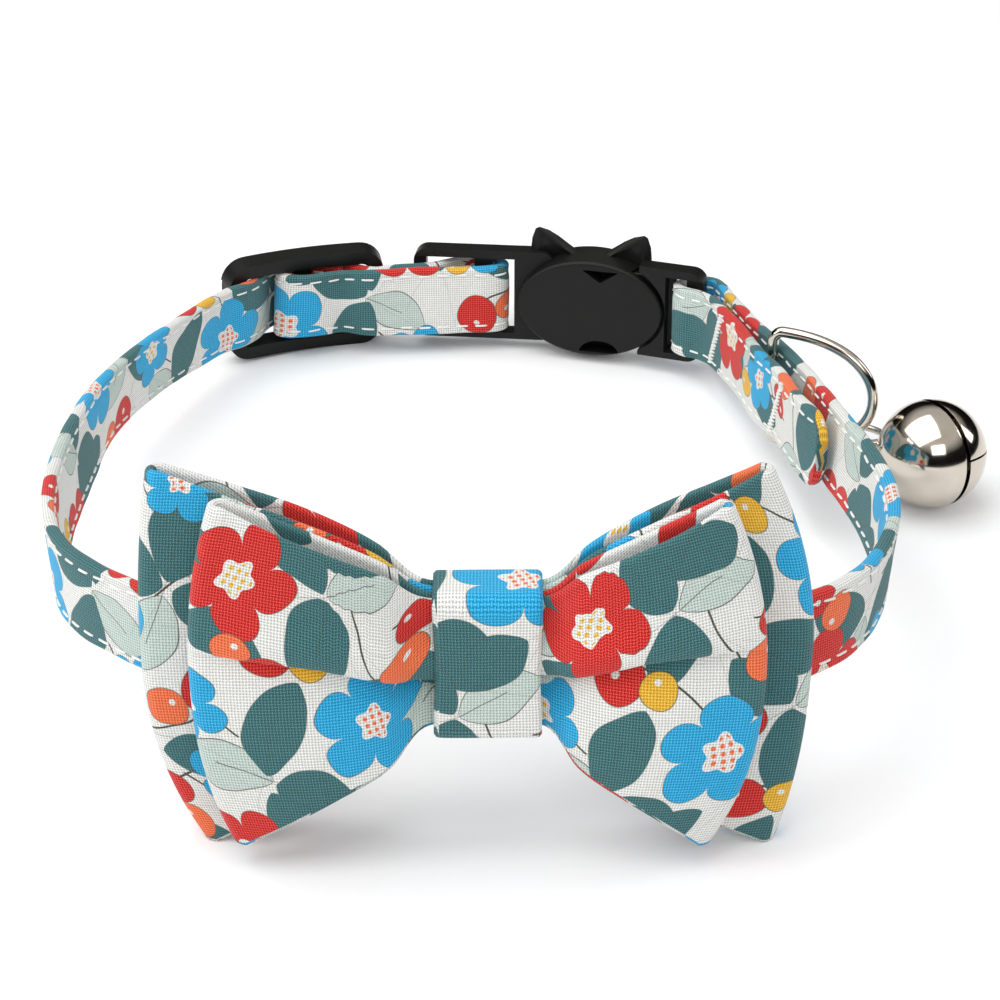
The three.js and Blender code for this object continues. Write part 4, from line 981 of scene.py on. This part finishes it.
def bow_mesh(name, lobe, sides, pleat, seed, material):
    """One loop of the bow: rings along the cloth, each ring going round the doubled cloth's section."""
    end = lobe[-1, 0]
    reaches = np.linspace(0, end, 56)
    turns = np.linspace(0, math.pi, 11)[1:-1]
    half = [(r, 0.0) for r in reaches] + [(end, t) for t in turns] + [(r, math.pi) for r in reaches[::-1]]
    loop = [(1, r, t) for r, t in half] + [(-1, r, t) for r, t in half[::-1]]
    loop = [row for i, row in enumerate(loop) if i == 0 or row[1] > 0 or loop[i - 1][1] > 0][:-1]
    side, reach, turn = (np.array(column) for column in zip(*loop))
    fine = curve_through(lobe, 30)
    top, bottom, front, rear = (np.interp(reach, fine[:, 0], fine[:, k])[:, None] for k in (1, 2, 3, 4))
    share = (reach / end)[:, None]
    scale, draw_top, draw_bottom = (np.where(side > 0, r, l)[:, None] for l, r in zip(sides[-1], sides[1]))
    side, reach, turn = side[:, None], reach[:, None], turn[:, None]

    even = np.linspace(-1, 1, 91)[None, :]
    heights = np.sign(even) * np.abs(even) ** 1.35
    z = np.where(heights >= 0, top * heights, -bottom * heights)
    in_front = np.clip(np.cos(turn), 0, 1) ** 0.5
    # The pleat: a valley that starts under the knot and fades outwards, with its upper lip hanging over.
    valley = np.interp(share, (0.2, 0.6, 1.0), (-0.7, 1.9, 2.7)) + 0.3 * side
    depth = pleat * np.interp(share, (0.0, 0.2, 0.32, 0.6, 0.85, 1.0),
                              (0.0, 0.85, 1.0, 0.66, 0.34, 0.15)) * in_front
    above = z - valley
    groove = np.where(above > 0, np.exp(-((above / 0.55) ** 2)), np.exp(-((np.abs(above) / 3.0) ** 1.1)))
    roll = 0.42 * np.exp(-(((above - 2.2) / 1.6) ** 2))
    lip = np.clip(above / 0.8, 0, None) * np.exp(1 - np.clip(above / 0.8, 0, None))
    z = z - lip * depth * 0.62
    # Gathers that run out of the knot, and the slack of the cloth.
    gathers = 0.22 * np.sin(heights * 9.0 + 1.3 * side + seed) * np.exp(-(((share - 0.3) / 0.16) ** 2))
    slack = 0.16 * ripple(seed, side * reach * 0.55, z * 0.5) * share
    push = -depth * (groove - roll) + gathers * in_front + slack
    drawn_in = draw_top * np.clip(heights, 0, None) ** 2 + draw_bottom * np.clip(-heights, 0, None) ** 2.5
    bulge = (BARREL * (1 - heights**2) - drawn_in) * share**3
    gap = (front - rear) / 2
    middle = (front + rear) / 2

    def layer(outwards):
        curl = gap + outwards * BOW_CLOTH / 2
        x = side * (reach * scale + bulge + np.sin(turn) * curl)
        d = middle + np.cos(turn) * curl + push
        return np.stack(np.broadcast_arrays(x, -d, z), axis=-1)

    outer, inner = layer(1), layer(-1)
    ends = []
    for k, sign in ((-1, 1), (0, -1)):
        for angle in np.radians([30, 60, 90, 120, 150]):
            blend = (1 - math.cos(angle)) / 2
            point = outer[:, k] * (1 - blend) + inner[:, k] * blend
            point[:, 2] += sign * math.sin(angle) * BOW_CLOTH / 2
            ends.append(point)
    top_edge, bottom_edge = ends[:5], ends[5:]
    points = np.concatenate([outer, np.stack(top_edge, 1), inner[:, ::-1], np.stack(bottom_edge[::-1], 1)],
                            axis=1)

    walked = np.linalg.norm(np.diff(points, axis=1), axis=-1)
    around = np.concatenate([np.zeros((len(points), 1)), np.cumsum(walked, axis=1)], axis=1)
    around = np.concatenate([around, around[:, -1:] + 1.0], axis=1)
    around = around - around[:, 45:46]
    spine = np.concatenate([[0], np.cumsum(np.linalg.norm(np.diff(outer[:, 45], axis=0), axis=-1))])
    along = np.concatenate([spine, [spine[-1] + np.linalg.norm(outer[-1, 45] - outer[0, 45])]])
    half_way = along[-1] / 2
    along = np.where(along > half_way, along - along[-1], along)
    cloth_map = np.stack(np.broadcast_arrays(along[:, None], np.vstack([around, around[:1]])), axis=-1)
    return cloth_grid(name, points, cloth_map, True, material, LOOP @ BOW_PLACE)


back_cotton = printed_cotton("printed_cotton_back_bow", (11.0, 4.0), -6)
front_cotton = printed_cotton("printed_cotton_front_bow", (21.5, 17.0), 4)
back_bow = bow_mesh("bow_back_cloth", BACK_LOBE, BACK_SIDES, pleat=0.4, seed=2, material=back_cotton)
front_bow = bow_mesh("bow_front_cloth", FRONT_LOBE, FRONT_SIDES, pleat=2.8, seed=7, material=front_cotton)
for piece, node, width, length in ((back_bow, "bow_back", 0.030, 0.135),
                                   (front_bow, "bow_front", 0.027, 0.117)):
    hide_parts(node)
    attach(piece, "root")

# The knot is a band of the print with its raw sides folded in, wrapped round both loops.


def wrap_mesh(name, width, wall, near, far, low, high, radius, material, seed):
    """A band bent into a closed rounded rectangle in the depth and height plane."""
    corner = np.radians(np.linspace(0, 90, 9))
    path = []
    for quarter, (side_d, side_z) in enumerate(((1, -1), (1, 1), (-1, 1), (-1, -1))):
        start = math.radians(quarter * 90 - 90)
        centre = ((far + near) / 2 + side_d * ((far - near) / 2 - radius),
                  (high + low) / 2 + side_z * ((high - low) / 2 - radius))
        path.extend((centre[0] + radius * math.cos(start + a), centre[1] + radius * math.sin(start + a),
                     math.cos(start + a), math.sin(start + a)) for a in corner)
    rows = []
    for here, after in zip(path, path[1:] + path[:1]):
        length = math.hypot(after[0] - here[0], after[1] - here[1])
        steps = max(1, round(length / 0.6))
        rows.extend([h + (a - h) * k / steps for h, a in zip(here, after)] for k in range(steps))
    rows = np.array(rows)
    normal = rows[:, 2:] / np.linalg.norm(rows[:, 2:], axis=1)[:, None]
    face = np.linspace(-1, 1, 25) * (1 - wall / width)
    bend = np.radians([-60, -20, 20, 60])
    round_off = (wall / 2) * np.cos(bend)
    x = np.concatenate([face * width / 2, width / 2 - wall / 2 + round_off, face[::-1] * width / 2,
                        -width / 2 + wall / 2 - round_off])
    out = np.concatenate([np.full(25, wall / 2), -np.sin(bend) * wall / 2, np.full(25, -wall / 2),
                          np.sin(bend) * wall / 2])
    travelled = np.concatenate([[0], np.cumsum(np.linalg.norm(np.diff(rows[:, :2], axis=0), axis=1))])
    soft = 0.12 * ripple(seed, x[None, :] * 1.1,
                         travelled[:, None] * 0.35) * np.exp(-((x / (0.45 * width)) ** 6))
    crown = 0.25 * (1 - (x / (width / 2)) ** 2)
    waist = 1 - 0.02 * np.cos(rows[:, 1:2] / (high - low) * 2 * math.pi)
    reach = out[None, :] + soft + crown * np.clip(normal[:, :1], 0, 1)
    points = np.stack([x[None, :] * waist, -(rows[:, :1] + normal[:, :1] * reach),
                       rows[:, 1:2] + normal[:, 1:] * reach],
                      axis=-1)
    closing = travelled[-1] + 0.6
    cloth_map = np.stack(np.broadcast_arrays(np.append(x, x[0] - 1)[None, :],
                                             np.append(travelled, closing)[:, None]), axis=-1)
    return cloth_grid(name, points, cloth_map, True, material, LOOP @ BOW_PLACE)


knot_cotton = printed_cotton("printed_cotton_knot", (6.5, 24.5), 0)
knot = wrap_mesh("bow_knot_cloth", width=10.6, wall=1.05, near=1.93, far=8.28, low=-7.63, high=7.63,
                 radius=1.2, material=knot_cotton, seed=4)
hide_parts("bow_knot")
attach(knot, "root")

# The loop behind the knot that the strap runs through is flat black elastic, woven with cords along it.
elastic, tree = new_material("woven_elastic")
weave_map = add(tree, "ShaderNodeUVMap", uv_map="cloth_mm")
cords = add(tree, "ShaderNodeTexWave", weave_map, bands_direction="X", Scale=0.45, Distortion=0.4)
picks = add(tree, "ShaderNodeTexWave", weave_map, bands_direction="Y", Scale=0.6)
relief = add(tree, "ShaderNodeMath", cords.outputs["Fac"], picks.outputs["Fac"], operation="MULTIPLY")
bump = add(tree, "ShaderNodeBump", Height=relief, Strength=0.9, Distance=0.00015)
# Painted highlight of the weave: the elastic is painted lighter where the cords and picks stand highest.
tone = add(tree, "ShaderNodeMix", relief, *TO_COLOURS, linear("#161616"), linear("#34343A"), data_type="RGBA")
shader = add(tree, "ShaderNodeBsdfPrincipled", tone.outputs[2], Normal=bump, Roughness=0.8)
add(tree, "ShaderNodeOutputMaterial", shader)
loop_piece = wrap_mesh("bow_loop_elastic", width=7.0, wall=0.8, near=-2.2, far=0.7, low=-9.5, high=1.9,
                       radius=0.9, material=elastic, seed=9)
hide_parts("bow_loop")
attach(loop_piece, "root")
